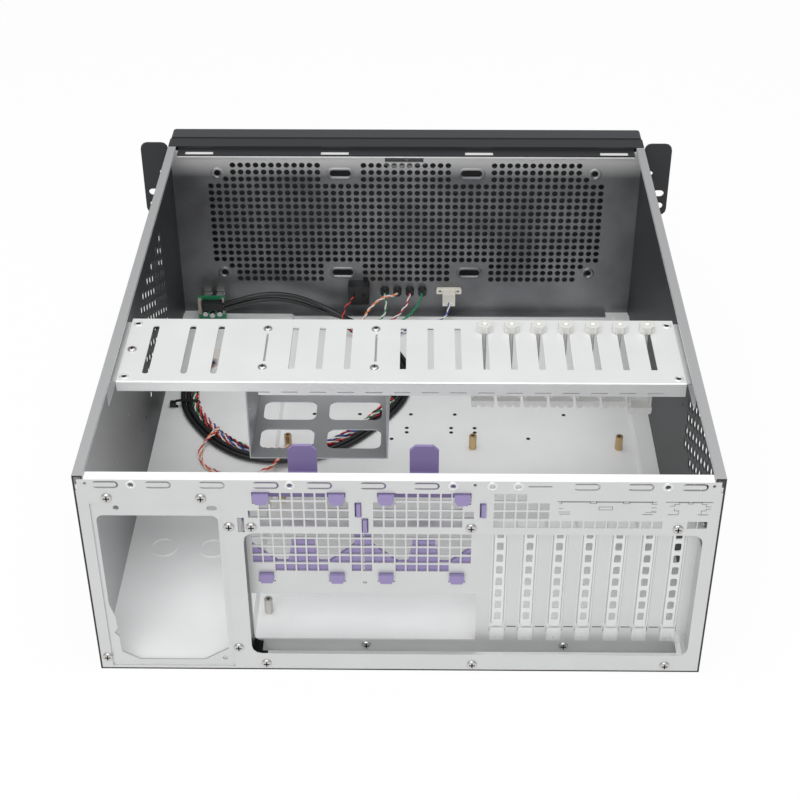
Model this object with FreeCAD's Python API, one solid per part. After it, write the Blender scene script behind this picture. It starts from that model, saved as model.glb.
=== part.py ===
"""Empty 4U rackmount server case, lid off: folded zinc-coated steel with a black front, in millimetres.

The frame: +Y is the rear, -Y the front, +Z up, and X = 0 is the middle of the case. Z = 0 is the underside.
Places along the case are given as depths, measured forward from the rear face.
"""
import FreeCAD, Part
import math
import os

from FreeCAD import Vector as V

os.makedirs("parts", exist_ok=True)

# The case
RACK_H = 177.8
CASE_W = 430.0
CASE_H = RACK_H - 1.3
TUB_L = 481.0
SHEET = 1.2
FIT = 0.1
REAR_Y = 258.0
RIM_W = 7.0
RIM_LIP = 2.5
REAR_FLANGE_W = 7.0
REAR_LIP_H = 11.0

# The board tray, lower than the pressed decks on both sides of it
DECK_RISE = 3.0
TRAY_LEFT = 107.0
TRAY_RIGHT = -197.0
DECK_START = 4.0
DECK_END_GAP = 10.4
DECK_RING_R = 11.0

# Motherboard standoffs, on the ATX pattern
STANDOFF_H = 13.5
STANDOFF_AF = 5.5
STANDOFF_BORE = 2.6
ATX_LEFT_X = 98.5
ATX_COLUMNS = (0.0, 157.48, 281.94)
ATX_REAR_DEPTH = 36.0
ATX_ROWS = (0.0, 154.94, 227.33)
ATX_LEFT_STEP = 22.86

# Rear panel and its recessed window
REAR_PANEL_TOP = CASE_H - 2.0
REAR_LIP_L = 7.5
WINDOW_LEFT = 105.0
WINDOW_RIGHT = -204.8
WINDOW_BOTTOM = 16.0
WINDOW_R = 7.0
RECESS = 13.0
SHELF_Z = REAR_PANEL_TOP - 47.5
WINDOW_TOP = SHELF_Z + 1.0
SILL_L = 3.0

# Power supply bay: an 86 x 150 mm supply stands on its side
PSU_X = 188.8
PSU_TOP_HOLE_Z = REAR_PANEL_TOP - 26.0
PSU_HOLE_SPAN = 138.0
PSU_TOP_SPAN = 64.0
PSU_THIRD_DROP = 114.0
PSU_THIRD_SPAN = 74.0
PSU_HOLE_R = 2.0
PSU_OPEN_TOP = PSU_TOP_HOLE_Z - 6.5
PSU_OPEN_BOTTOM = 8.3
PSU_BAY_TOP = PSU_TOP_HOLE_Z + 5.0
PSU_BAY_RIGHT = 118.0

# I/O aperture and the seven card slots
IO_W = 158.75
IO_H = 44.45
IO_LEFT = 104.3
IO_BOTTOM = 17.6
SLOT_COUNT = 7
SLOT_PITCH = 20.32
SLOT_FIRST_X = -69.5
SLOT_W = 11.8
SLOT_BOTTOM = 27.5
COVER_W = 18.4
COVER_T = 0.9
RIDGE_W = 7.7
RIDGE_H = 1.2

# Square vent holes in the rear
VENT_PITCH_X = 7.6
VENT_PITCH_Z = 7.6
VENT_W = 6.4
VENT_H = 6.1

# Two clip-in holders for 80 mm fans
FAN_SIZE = 80.0
FAN_PITCH = 83.3
FAN_FIRST_X = 66.3
FAN_Z = SHELF_Z - 3.0
FAN_HOLE_SPAN = 71.5
HOLDER_T = 2.4
HOLDER_L = 27.5
HOLDER_RIM = 6.0
HANDLE_W = 20.0
HANDLE_TOP = REAR_PANEL_TOP - 2.5

# Hold-down bar
BAR_HALF_W = 205.2
BAR_NEAR = 118.0
BAR_FAR = 202.0
BAR_TOP = REAR_PANEL_TOP - 4.5
BAR_SKIRT_SHORT = 8.3
BAR_SKIRT_LONG = 11.3
BAR_SKIRT_FRONT = 8.3
BAR_SKIRT_STEP_X = 103.0
BAR_SLOT_W = 4.6
BAR_SLOT_NEAR = 135.3
BAR_SLOT_FAR = 190.3
BAR_SLOT_ORIGIN_X = -1.3

# Clamps on the bar: a thumb nut above, a grooved foot below
CLAMP_COUNT = 7
CLAMP_DEPTH = 187.5
KNOB_R = 6.0
KNOB_H = 5.6
KNOB_GAP = 0.3
STEM_R = 1.7
FOOT_W = 17.6
FOOT_L = 16.0
FOOT_H = 4.0
FOOT_Z = BAR_TOP - 65.5
FOOT_TOP = BAR_TOP - 48.0
LAST_FOOT_DROP = 6.0

# Drive cradle, for a 101.6 mm wide drive
DRIVE_W = 101.6
CRADLE_T = 1.0
CRADLE_X = 61.8
CRADLE_NEAR = 127.0
CRADLE_L = 118.0
CRADLE_Z = BAR_TOP - 75.0
CRADLE_LOW_Z = BAR_TOP - 45.0

# Front wall
WALL_FLANGE_L = 10.0
WALL_TOP = CASE_H - 4.5
FRONT_FAN_PITCH = 120.0
FRONT_FAN_Z = WALL_TOP - 74.75
FRONT_FAN_HOLES = 105.0
CONTROL_Z = 26.0

# Front frame, door and ears
FRAME_L = 16.6
FRAME_EDGE = 8.0
DOOR_GAP = 2.1
DOOR_L = 16.5
DOOR_H = RACK_H - 3.8
DOOR_Z = 3.0
DOOR_T = 1.5
HINGE_UP = 8.0
HINGE_IN = 8.5
HINGE_PIN_R = 2.0
EAR_SPAN = 482.6
EAR_T = 2.0
EAR_LOBE_H = 72.0
EAR_SLOT_SPAN = 465.1
EAR_SLOT_HIGH = RACK_H / 2 + 38.1
EAR_SLOT_LOW = RACK_H / 2 + 25.4
EAR_SLOT_H = 7.0
EAR_SLOT_L = 10.5

INNER_X = CASE_W / 2 - SHEET
FRONT_DEPTH = TUB_L + FRAME_L
DOOR_DEPTH = FRONT_DEPTH + DOOR_GAP


def y_at(depth):
    """The Y of a depth measured forward from the rear face."""
    return REAR_Y - depth


def block(x0, x1, depth0, depth1, z0, z1):
    """A box between two X, two depths and two Z."""
    low = V(min(x0, x1), y_at(max(depth0, depth1)), min(z0, z1))
    return Part.makeBox(abs(x1 - x0), abs(depth1 - depth0), abs(z1 - z0), low)


def round_block(x0, x1, depth0, depth1, z0, z1, radius, axis="Y"):
    """A box whose four edges along one axis are rounded in a few flats, or broken where they are small."""
    low = (min(x0, x1), y_at(max(depth0, depth1)), min(z0, z1))
    high = (max(x0, x1), y_at(min(depth0, depth1)), max(z0, z1))
    index = "XYZ".index(axis)
    u, w = [k for k in range(3) if k != index]
    steps = 3 if radius >= 1.5 else 1
    ring = []
    for quarter, (side_u, side_w) in enumerate(((high, high), (low, high), (low, low), (high, low))):
        for k in range(steps + 1):
            angle = math.pi / 2 * (quarter + k / steps)
            point = [0.0, 0.0, 0.0]
            point[index] = low[index]
            point[u] = side_u[u] + radius * (math.cos(angle) - (1 if side_u is high else -1))
            point[w] = side_w[w] + radius * (math.sin(angle) - (1 if side_w is high else -1))
            ring.append(V(*point))
    reach = [0.0, 0.0, 0.0]
    reach[index] = high[index] - low[index]
    return Part.Face(Part.makePolygon(ring + ring[:1])).extrude(V(*reach))


def pin(radius, start, reach, sides):
    """A pin or hole from a point along a vector: round, or with a number of flat sides."""
    if not sides:
        return Part.makeCylinder(radius, reach.Length, start, reach)
    turn = FreeCAD.Rotation(V(0, 0, 1), reach)
    angles = [2 * math.pi * (k + 0.5) / sides for k in range(sides)]
    ring = [start + turn.multVec(V(radius * math.cos(a), radius * math.sin(a), 0)) for a in angles]
    return Part.Face(Part.makePolygon(ring + ring[:1])).extrude(reach)


def rod(radius, x, depth0, depth1, z, sides=8):
    """A pin or hole along Y between two depths."""
    return pin(radius, V(x, y_at(max(depth0, depth1)), z), V(0, abs(depth1 - depth0), 0), sides)


def post(radius, x, depth, z0, z1, sides=8):
    """A pin or hole along Z."""
    return pin(radius, V(x, y_at(depth), z0), V(0, 0, z1 - z0), sides)


def axle(radius, x0, x1, depth, z, sides=8):
    """A pin or hole along X."""
    return pin(radius, V(min(x0, x1), y_at(depth), z), V(abs(x1 - x0), 0, 0), sides)


def join(shapes):
    """One solid from shapes that overlap or share faces."""
    shapes = list(shapes)
    return shapes[0].fuse(shapes[1:]).removeSplitter() if len(shapes) > 1 else shapes[0]


def folded(points, vector, thickness=SHEET):
    """Sheet metal: the open line of its outer face, thickened to its right side and extruded."""
    face = Part.makePolygon([V(*p) for p in points]).makeOffset2D(-thickness, 0, True, True)
    return face.extrude(V(*vector))


def prism(points, depth0, depth1):
    """A closed outline in X and Z, extruded between two depths."""
    ring = [V(x, y_at(depth1), z) for x, z in points]
    return Part.Face(Part.makePolygon(ring + ring[:1])).extrude(V(0, depth1 - depth0, 0))


def obround(x, z, length, height, depth0, depth1):
    """A slot with round ends, lying along X, through a wall between two depths."""
    half = length / 2
    return round_block(x - half, x + half, depth0, depth1, z - height / 2, z + height / 2, height / 2 - 0.01)


def bolt_slot(x, z, length, height, depth0, depth1):
    """The same slot with truly round ends, where a screw passes."""
    reach = (length - height) / 2
    ends = [rod(height / 2, x + s * reach, depth0, depth1, z, 0) for s in (1, -1)]
    return join([block(x - reach, x + reach, depth0, depth1, z - height / 2, z + height / 2)] + ends)


def u_lance(x, z, depth0, depth1, length=17.6, height=6.0, cut=1.3):
    """The U-shaped cut around a spring tongue: round at its outer end and open at the other."""
    outer = obround(x, z, length, height, depth0, depth1)
    inner = obround(x, z, length - 2 * cut, height - 2 * cut, depth0 - 1, depth1 + 1)
    root = block(x + length / 2, x + length, depth0 - 1, depth1 + 1, z - height, z + height)
    tongue = block(x, x + length, depth0 - 1, depth1 + 1, z - height / 2 + cut, z + height / 2 - cut)
    return outer.cut([inner, root, tongue])


def grid(xs, zs, width, height, depth0, depth1):
    """Rectangular punches, one at each pair of X and Z."""
    return [block(x - width / 2, x + width / 2, depth0, depth1, z - height / 2, z + height / 2)
            for x in xs for z in zs]


def pan_head(x, depth, z, radius=3.6, height=1.5, shank=1.3, length=3.0):
    """A pan-head screw driven along Y from the rear: a tapered head with a cross recess, and its shank."""
    base = y_at(depth)
    rings = []
    for size, rise in ((radius, 0), (radius * 0.72, height)):
        corners = [2 * math.pi * (k + 0.5) / 8 for k in range(9)]
        rings.append(Part.makePolygon([V(x + size * math.cos(a), base + rise, z + size * math.sin(a))
                                       for a in corners]))
    head = Part.makeLoft(rings, True, True)
    arm, width = radius * 0.45, radius * 0.15
    cross = [Part.makeBox(2 * arm, height, 2 * width, V(x - arm, base + height * 0.5, z - width)),
             Part.makeBox(2 * width, height, 2 * arm, V(x - width, base + height * 0.5, z - arm))]
    return head.cut(cross).fuse(pin(shank, V(x, base + 0.1, z), V(0, -length, 0), 8))


def flat_screw(x, depth, z, radius=3.4, height=1.4, shank=1.3, length=3.0):
    """The same screw standing upright, driven down along Z."""
    screw = pan_head(0, REAR_Y, 0, radius, height, shank, length)
    screw.rotate(V(0, 0, 0), V(1, 0, 0), 90)
    screw.translate(V(x, y_at(depth), z))
    return screw


def export(name, shape):
    """Writes one node as a STEP file."""
    if shape.isNull() or not shape.isValid():
        raise ValueError(name + " is not a valid shape")
    shape.exportStep("parts/" + name + ".step")
    print(name, "solids", len(shape.Solids), "volume", round(shape.Volume))


# ---------------------------------------------------------------- tub


def standoff_places():
    """X and depth of each board standoff."""
    places = []
    for column in ATX_COLUMNS:
        for row in ATX_ROWS:
            step = ATX_LEFT_STEP if column == 0 and row == 0 else 0
            places.append((ATX_LEFT_X - column, ATX_REAR_DEPTH + row + step))
    return places


def floor_hole_places():
    """Spare tapped holes of other board patterns."""
    near = [(x, ATX_REAR_DEPTH + row) for x in (-41, -2.5, -61.4) for row in (256.0, 249.5)]
    far = [(x, ATX_REAR_DEPTH + 276.0) for x in (79.0, 38.9, -5.9, -44.5, -140.1)]
    return near + far + [(-107.2, ATX_REAR_DEPTH + 241.0), (10.5, ATX_REAR_DEPTH + 240.0)]


def diamond_field(side, depth0, columns, rows, z0):
    """A field of square vent holes in a side wall, every second column set half a pitch up."""
    pitch, size = 12.0, 8.2
    holes = []
    x0 = side * (INNER_X - 1)
    x1 = side * (CASE_W / 2 + 1)
    for column in range(columns):
        for row in range(rows):
            depth = depth0 + pitch * column
            z = z0 + pitch * (row + 0.5 * (column % 2))
            holes.append(block(x0, x1, depth, depth + size, z, z + size))
    return holes


def chassis_tub():
    """Floor, side walls and their top rims, folded from one sheet, with the decks pressed up."""
    rim = CASE_W / 2 - RIM_W
    half = CASE_W / 2
    line = [(rim, y_at(TUB_L), CASE_H - RIM_LIP), (rim, y_at(TUB_L), CASE_H), (half, y_at(TUB_L), CASE_H),
            (half, y_at(TUB_L), 0), (-half, y_at(TUB_L), 0), (-half, y_at(TUB_L), CASE_H),
            (-rim, y_at(TUB_L), CASE_H), (-rim, y_at(TUB_L), CASE_H - RIM_LIP)]
    tub = folded(line, (0, TUB_L, 0))
    back = SHEET + FIT
    tub = join([tub, block(-INNER_X, PSU_BAY_RIGHT - 11, back, back + SHEET, SHEET / 2, REAR_LIP_H),
                block(-INNER_X - SHEET / 2, -INNER_X + REAR_FLANGE_W, back, back + SHEET, REAR_LIP_H - 1, CASE_H - 8.5),
                block(INNER_X + SHEET / 2, INNER_X - REAR_FLANGE_W, back, back + SHEET, PSU_TOP_HOLE_Z + 15, CASE_H - 8.5)])
    deck_end = TUB_L - DECK_END_GAP
    deck_top = DECK_RISE + SHEET
    for inner, side in ((TRAY_LEFT, 1), (TRAY_RIGHT, -1)):
        wall = side * INNER_X
        foot = inner - side * SHEET * 0.4
        raised = prism([(foot, SHEET / 2), (foot, SHEET), (foot + side * DECK_RISE, deck_top), (wall, deck_top),
                        (wall, SHEET / 2)], DECK_START - SHEET, deck_end + SHEET)
        hollow = prism([(inner, -1), (inner, 0), (inner + side * DECK_RISE, DECK_RISE), (wall, DECK_RISE),
                        (wall, -1)], DECK_START, deck_end)
        tub = tub.fuse(raised).cut(hollow)
    for x, depth in ((186.8, 128.8), (148.1, 128.0)):
        ring = post(DECK_RING_R, x, depth, deck_top - 0.1, deck_top + 0.5, 16)
        tub = tub.fuse(ring.cut(post(DECK_RING_R - 1.4, x, depth, deck_top, deck_top + 1, 16)))
    cuts = [post(1.6, x, depth, -1, SHEET + 1) for x, depth in standoff_places()]
    cuts += [post(1.5, x, depth, -1, SHEET + 1) for x, depth in floor_hole_places()]
    cuts += [rod(1.6, x, 0, 2 * back, z) for x, z in REAR_SCREWS if z < REAR_LIP_H]
    cuts += diamond_field(1, 276, 10, 8, CASE_H - 136.5)
    cuts += diamond_field(-1, 41, 9, 5, CASE_H - 81.5)
    cuts += [axle(1.6, side * half - 3, side * half + 3, depth, z)
             for side, depth, z in ((1, 186, 91.4), (1, 124, 92), (1, 248, 43.4), (1, 228, 43.9), (1, 430, 120),
                                    (1, 430, 60), (-1, 165, 118), (-1, 300, 140), (-1, 430, 120), (-1, 430, 60))]
    return tub.cut(cuts).removeSplitter()


def standoffs():
    """Hexagonal brass pillars, each a separate solid, pressed into the tray."""
    solids = []
    for x, depth in standoff_places():
        radius = STANDOFF_AF / math.sqrt(3)
        ring = [V(x + radius * math.cos(math.radians(60 * k)), y_at(depth) + radius * math.sin(math.radians(60 * k)),
                  SHEET) for k in range(6)]
        pillar = Part.Face(Part.makePolygon(ring + ring[:1])).extrude(V(0, 0, STANDOFF_H))
        bore = post(STANDOFF_BORE / 2, x, depth, SHEET + STANDOFF_H - 7, SHEET + STANDOFF_H + 1, 0)
        solids.append(pillar.cut(bore))
    return Part.makeCompound(solids)


# ---------------------------------------------------------------- rear


def rear_vents():
    """Vent holes in the upper band of the rear panel: two fan blocks and the row over the slots."""
    row = [FAN_Z - 0.6 + VENT_PITCH_Z * k for k in (1.8, 2.8, 3.8, 4.8)]
    holes = []
    for n in range(2):
        middle = FAN_FIRST_X - 3.1 - 10 * VENT_PITCH_X * n
        wide = [middle + VENT_PITCH_X * (k - 3.5) for k in range(8)]
        outboard = middle + VENT_PITCH_X * (4.5 - 9 * n)
        holes += grid(wide, row[:1] + row[2:3], VENT_W, VENT_H, -1, 3)
        holes += grid(wide + [outboard], row[1:2], VENT_W, VENT_H, -1, 3)
        holes += grid(wide[2 - n:7 - n], row[3:], VENT_W, VENT_H, -1, 3)
    first = SLOT_FIRST_X + 3
    holes += grid([first - VENT_PITCH_X * k for k in range(15)], row[:1], VENT_W, VENT_H, -1, 3)
    holes += grid([first - VENT_PITCH_X * k for k in range(5)], row[1:3], VENT_W, VENT_H, -1, 3)
    holes += grid([first - VENT_PITCH_X * k for k in range(3)], row[3:], VENT_W, VENT_H, -1, 3)
    holes += grid([-196, -203], row[:1], VENT_W, VENT_H, -1, 3)
    return holes


def hook_places():
    """X and Z of the holes for each holder's hooks: two above, two below, one on each side."""
    places = []
    for n in range(2):
        x = FAN_FIRST_X - FAN_PITCH * n
        places.append((x, FAN_Z))
    return places


HIGH_SCREW_Z = PSU_TOP_HOLE_Z + 9.5
SHELF_SCREW_Z = SHELF_Z + 6.5
REAR_SCREWS = ((193.8, HIGH_SCREW_Z), (131.2, HIGH_SCREW_Z), (114.1, SHELF_SCREW_Z), (114.3, 21.8), (209.0, 11.7),
               (99.1, SHELF_SCREW_Z), (-48.6, SHELF_SCREW_Z), (-187.1, SHELF_SCREW_Z), (95.2, 6.3), (-52.0, 6.3),
               (-189.8, 6.3))
BAY_SCREWS = REAR_SCREWS[:5]
TAB_SCREWS = REAR_SCREWS[5:8]
PANEL_SCREWS = ((24.0, 12.4), (-118.0, 12.4))


def rear_panel():
    """The outer rear panel with its top lip, drawn window and knock-outs."""
    half = INNER_X - FIT
    low = SHEET + FIT
    panel = block(-half, half, 0, SHEET, low, REAR_PANEL_TOP)
    lip = round_block(-half + 6.1, half - 6.1, 0, REAR_LIP_L, REAR_PANEL_TOP - SHEET, REAR_PANEL_TOP, 0.01 + SHEET / 3, "X")
    sill = block(WINDOW_RIGHT + WINDOW_R, WINDOW_LEFT - WINDOW_R, SILL_L, RECESS + 1, WINDOW_BOTTOM - 3,
                 WINDOW_BOTTOM + 3)
    outer = round_block(WINDOW_RIGHT - SHEET, WINDOW_LEFT + SHEET, 0, RECESS - FIT, WINDOW_BOTTOM - SHEET,
                        WINDOW_TOP + 4 * SHEET, WINDOW_R + SHEET)
    inner = round_block(WINDOW_RIGHT, WINDOW_LEFT, -1, RECESS + 1, WINDOW_BOTTOM, WINDOW_TOP, WINDOW_R)
    above = block(WINDOW_RIGHT - 3, WINDOW_LEFT + 3, SHEET, RECESS + 1, WINDOW_TOP - 12, WINDOW_TOP + 9)
    panel = join([panel, lip, outer.cut([above, sill])]).cut(inner)
    cuts = rear_vents()
    cuts.append(round_block(PSU_BAY_RIGHT, 206, -1, 3, 2.6, PSU_BAY_TOP, 1.0))
    for s in (1, -1):
        cuts.append(block(s * (half - 1.5), s * (half + 2), -1, 3, CASE_H - 12, CASE_H))
        cuts.append(block(s * (half - 6.2), s * (half + 2), -1, 3, CASE_H - 3, CASE_H))
    left = (201.9, 167.0, 131.5, 95.9, 60.7, 25.1, -10.1, -115.7, -151.1, -186.8)
    lance_z = REAR_PANEL_TOP - 5.3
    cuts += [u_lance(x - 8.3, lance_z, -1, 3) for x in left]
    cuts += [rod(1.2, x, -1, 3, lance_z + 1) for x in (206.9, -207.5, -50.4)]
    cuts += [rod(2.1, x, -1, 3, lance_z) for x in (176.7, 71.8, -36.1, -177.2, -61.9, -79.0)]
    cuts.append(block(-85.5, -101.2, -1, 3, lance_z - 0.4, lance_z + 0.6))
    cuts += [rod(1.5, x, -1, SHEET + 1, z) for x, z in REAR_SCREWS]
    for x, z in hook_places():
        cuts += [block(x + s * 25.0 - 6.2, x + s * 25.0 + 6.2, -1, 3, z + 29.5, z + 39.5) for s in (1, -1)]
        cuts.append(block(x - 41.5, x - 37.0, -1, 3, z + 18.5, z + 31.0))
        cuts.append(block(x + 37.3, x + 41.8, -1, 3, z + 5.0, z + 17.5))
    port_z = REAR_PANEL_TOP - 23.0
    for x0, x1 in ((-105, -171), (-177, -208)):
        cuts += [block(x0, x1, -1, 3, port_z + 4.9, port_z + 5.7), block(x0 - 2, x0 - 9, -1, 3, port_z - 5.7, port_z - 5),
                 block(x1 + 2, x1 + 9, -1, 3, port_z - 5.7, port_z - 5)]
    return panel.cut(cuts).removeSplitter()


def psu_bracket():
    """The plate behind the rear panel that carries the power supply, with its shaped opening."""
    near, far = SHEET + FIT, 2 * SHEET + FIT
    top = PSU_TOP_HOLE_Z
    plate = block(PSU_BAY_RIGHT - 10, INNER_X - 0.8, near, far, SHEET + FIT, top + 14)
    outline = [(203.1, PSU_OPEN_TOP), (121.2, PSU_OPEN_TOP), (121.9, 19.4), (139.6, PSU_OPEN_BOTTOM),
               (186.1, PSU_OPEN_BOTTOM), (198.5, 15.9), (199.0, 30.5), (202.0, 34.5), (199.2, 38.5), (199.8, 49.4),
               (203.1, 61.3)]
    opening = prism(outline, near - 1, far + 1)
    corners = [e for e in opening.Edges if abs(e.tangentAt(e.FirstParameter).y) > 0.9
               and e.BoundBox.ZMin > PSU_OPEN_TOP - 1]
    opening = opening.makeFillet(5.0, corners)
    holes = [rod(PSU_HOLE_R, PSU_X, near - 1, far + 1, top, 0),
             obround(PSU_X - PSU_TOP_SPAN, top, 7.0, 2 * PSU_HOLE_R, near - 1, far + 1),
             rod(PSU_HOLE_R, PSU_X - PSU_TOP_SPAN, near - 1, far + 1, top - PSU_HOLE_SPAN, 0),
             rod(PSU_HOLE_R, PSU_X - PSU_TOP_SPAN + PSU_THIRD_SPAN, near - 1, far + 1, top - PSU_THIRD_DROP, 0)]
    pilots = [rod(1.5, x, near - 1, far + 1, z) for x, z in BAY_SCREWS]
    return plate.cut([opening] + holes + pilots)


def slot_xs():
    """The X of each card slot's centre."""
    return [SLOT_FIRST_X - SLOT_PITCH * k for k in range(SLOT_COUNT)]


def slot_panel():
    """The recessed inner panel: fan grid, I/O aperture, card slots, and the shelf for the cover tabs."""
    near, far = RECESS, RECESS + SHEET
    left, right = WINDOW_LEFT + 1.8, WINDOW_RIGHT - 1.8
    back = SHEET + FIT
    shelf_top = SHELF_Z + SHEET
    panel = join([block(left, right, near, far, SHEET, shelf_top),
                  block(left, right, back, far, SHELF_Z, shelf_top)]
                 + [block(x - 5.4, x + 5.4, back, back + SHEET, SHELF_Z, SHELF_Z + 14) for x, z in TAB_SCREWS])
    cuts = [block(IO_LEFT, IO_LEFT - IO_W, near - 1, far + 1, IO_BOTTOM, IO_BOTTOM + IO_H)]
    deck_top = SHEET + DECK_RISE + FIT
    cuts.append(block(TRAY_LEFT - 1.5, left + 1, near - 1, far + 1, 0, deck_top))
    cuts.append(block(TRAY_RIGHT + 1.5, right - 1, near - 1, far + 1, 0, deck_top))
    for x in slot_xs():
        cuts.append(block(x - SLOT_W / 2, x + SLOT_W / 2, near - 1, far + 1, SLOT_BOTTOM, SHELF_Z - 1))
        cuts.append(post(1.5, x, (back + near) / 2, SHELF_Z - 1, shelf_top + 1))
    first = FAN_FIRST_X + FAN_SIZE / 2 - 8.2
    columns = [first - VENT_PITCH_X * k for k in range(20)]
    rows = [FAN_Z - 30.2 + VENT_PITCH_Z * k for k in range(4)]
    cuts += grid(columns, rows, VENT_W, VENT_H, near - 1, far + 1)
    low = [columns[k] for k in (2, 3, 4, 5, 6, 9, 10, 13, 14, 15, 16, 17)]
    cuts += grid(low, [rows[0] - VENT_PITCH_Z], VENT_W, VENT_H, near - 1, far + 1)
    for x, z in hook_places():
        cuts += [block(x + s * 24.6 - 4.6, x + s * 24.6 + 7.6, near - 1, far + 1, z - 50.8, z - 42.3)
                 for s in (1, -1)]
        cuts.append(block(x + 37.3, x + 41.8, back - 1, back + 2, z + 5.0, z + 17.5))
    cuts += [rod(1.5, x, 0, back + 3, z) for x, z in TAB_SCREWS]
    cuts += [rod(1.5, x, near - 1, far + 1, z) for x, z in PANEL_SCREWS + ((24.0, 73.0),)]
    return panel.cut(cuts).removeSplitter()


def slot_cover(x):
    """One blank card bracket: a strip with a raised, pierced ridge, a top tab and a bottom tongue."""
    near = RECESS + SHEET + 0.05
    far = near + COVER_T
    top = SHELF_Z + SHEET
    strip = block(x - COVER_W / 2, x + COVER_W / 2, near, far, SLOT_BOTTOM + 3, top + COVER_T)
    tab = block(x - COVER_W / 2, x + COVER_W / 2, 3.2, far, top, top + COVER_T)
    ridge_near = near - RIDGE_H - 0.2
    ridge = round_block(x - RIDGE_W / 2, x + RIDGE_W / 2, ridge_near, far, SLOT_BOTTOM + 4.5, SHELF_Z - 1.6, 2.9)
    tongue_w = SLOT_W - 1.6
    neck = block(x - tongue_w / 2, x + tongue_w / 2, RECESS - COVER_T - 0.05, far, SLOT_BOTTOM + 0.3, SLOT_BOTTOM + 4)
    tongue = block(x - tongue_w / 2, x + tongue_w / 2, RECESS - COVER_T - 0.05, RECESS - 0.05, WINDOW_BOTTOM + 0.3,
                   SLOT_BOTTOM + 4)
    holes = grid([x], [SLOT_BOTTOM + 12 + 11.4 * k for k in range(8)], 4.3, 5.5, ridge_near - 1, far + 1)
    notch = block(x - 2.2, x + 2.2, 2, 7.6, top - 1, top + COVER_T + 1)
    return join([strip, tab, ridge, neck, tongue]).cut(holes + [notch]).removeSplitter()


def fan_holder(x, outer_hook):
    """A moulded holder for a fan: a shallow framed plate, hooks through both panels, and a springy handle."""
    near = RECESS + SHEET + 0.3
    far = near + HOLDER_T
    rim = near + HOLDER_RIM
    end = near + HOLDER_L
    half = FAN_SIZE / 2 + 1.0
    low, high = FAN_Z - half, FAN_Z + half
    plate = block(x - half, x + half, near, rim, low - HOLDER_T, high - 1)
    well = block(x - half + HOLDER_T, x + half - HOLDER_T, far, rim + 1, low, high - 1 - HOLDER_T)
    opening = prism([(x - 35.5, low + 23), (x - 18, low + 7.5), (x + 18, low + 7.5), (x + 35.5, low + 23),
                     (x + 35.5, FAN_Z + 24), (x - 35.5, FAN_Z + 24)], near - 1, far + 1)
    frame = plate.cut([well, opening])
    pegs = [rod(2.0, x + sx * FAN_HOLE_SPAN / 2, far - 1, far + 6, FAN_Z + sz * FAN_HOLE_SPAN / 2)
            for sx in (1, -1) for sz in (1, -1)]
    tab = prism([(x - 11, low + 6), (x + 11, low + 6), (x + 8, low + 22), (x + 8, low + 27), (x - 8, low + 27),
                 (x - 8, low + 22)], near, far)
    wide = HANDLE_W / 2
    arm_z = FAN_Z + 24
    arm = block(x - wide, x + wide, near, end, arm_z, arm_z + HOLDER_T)
    handle = prism([(x - wide, arm_z), (x + wide, arm_z), (x + wide, HANDLE_TOP - 4), (x + wide - 4, HANDLE_TOP),
                    (x - wide + 4, HANDLE_TOP), (x - wide, HANDLE_TOP - 4)], end - HOLDER_T, end)
    hooks = []
    for s in (1, -1):
        c = x + s * 25.3
        hooks.append(block(c - 5.0, c + 5.0, -0.9, far, FAN_Z + 35.5, FAN_Z + 37.7))
        hooks.append(prism([(c - 5.3, FAN_Z + 38.4), (c - 5.3, FAN_Z + 34), (c - 3.4, FAN_Z + 30.4),
                            (c + 3.4, FAN_Z + 30.4), (c + 5.3, FAN_Z + 34), (c + 5.3, FAN_Z + 38.4)], -2.4, -0.4))
        c = x + s * 24.6 + 1.5
        hooks.append(block(c - 5.0, c + 5.0, RECESS - 1.4, far, FAN_Z - 44.6, FAN_Z - 42.8))
        hooks.append(prism([(c - 5.3, FAN_Z - 42.6), (c - 5.3, FAN_Z - 46.5), (c - 3.8, FAN_Z - 50.2),
                            (c + 3.8, FAN_Z - 50.2), (c + 5.3, FAN_Z - 46.5), (c + 5.3, FAN_Z - 42.6)],
                           RECESS - 2.9, RECESS - 0.4))
        hooks.append(block(c - 5.0, c + 5.0, near, far, FAN_Z - 44.6, low))
    side = [block(x - 41.0, x - 38.2, -1.6, far, FAN_Z + 19.5, FAN_Z + 30.0)]
    if outer_hook:
        side.append(block(x + 38.2, x + 41.0, -1.6, far, FAN_Z + 6.0, FAN_Z + 16.5))
    return join([frame, tab, arm, handle] + pegs + hooks + side)


# ---------------------------------------------------------------- hold-down bar


def clamp_xs():
    """The X of each clamp, one beside every card slot."""
    return [BAR_SLOT_ORIGIN_X - SLOT_PITCH * (3 + k) for k in range(CLAMP_COUNT)]


CRADLE_SCREWS = tuple((x, depth) for x in (101.2, 19.5) for depth in (137.0, 188.5))
BAR_END_SCREW = (199.6, 159.8)
BAR_CORNERS = (124.5, 195.0)


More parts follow.
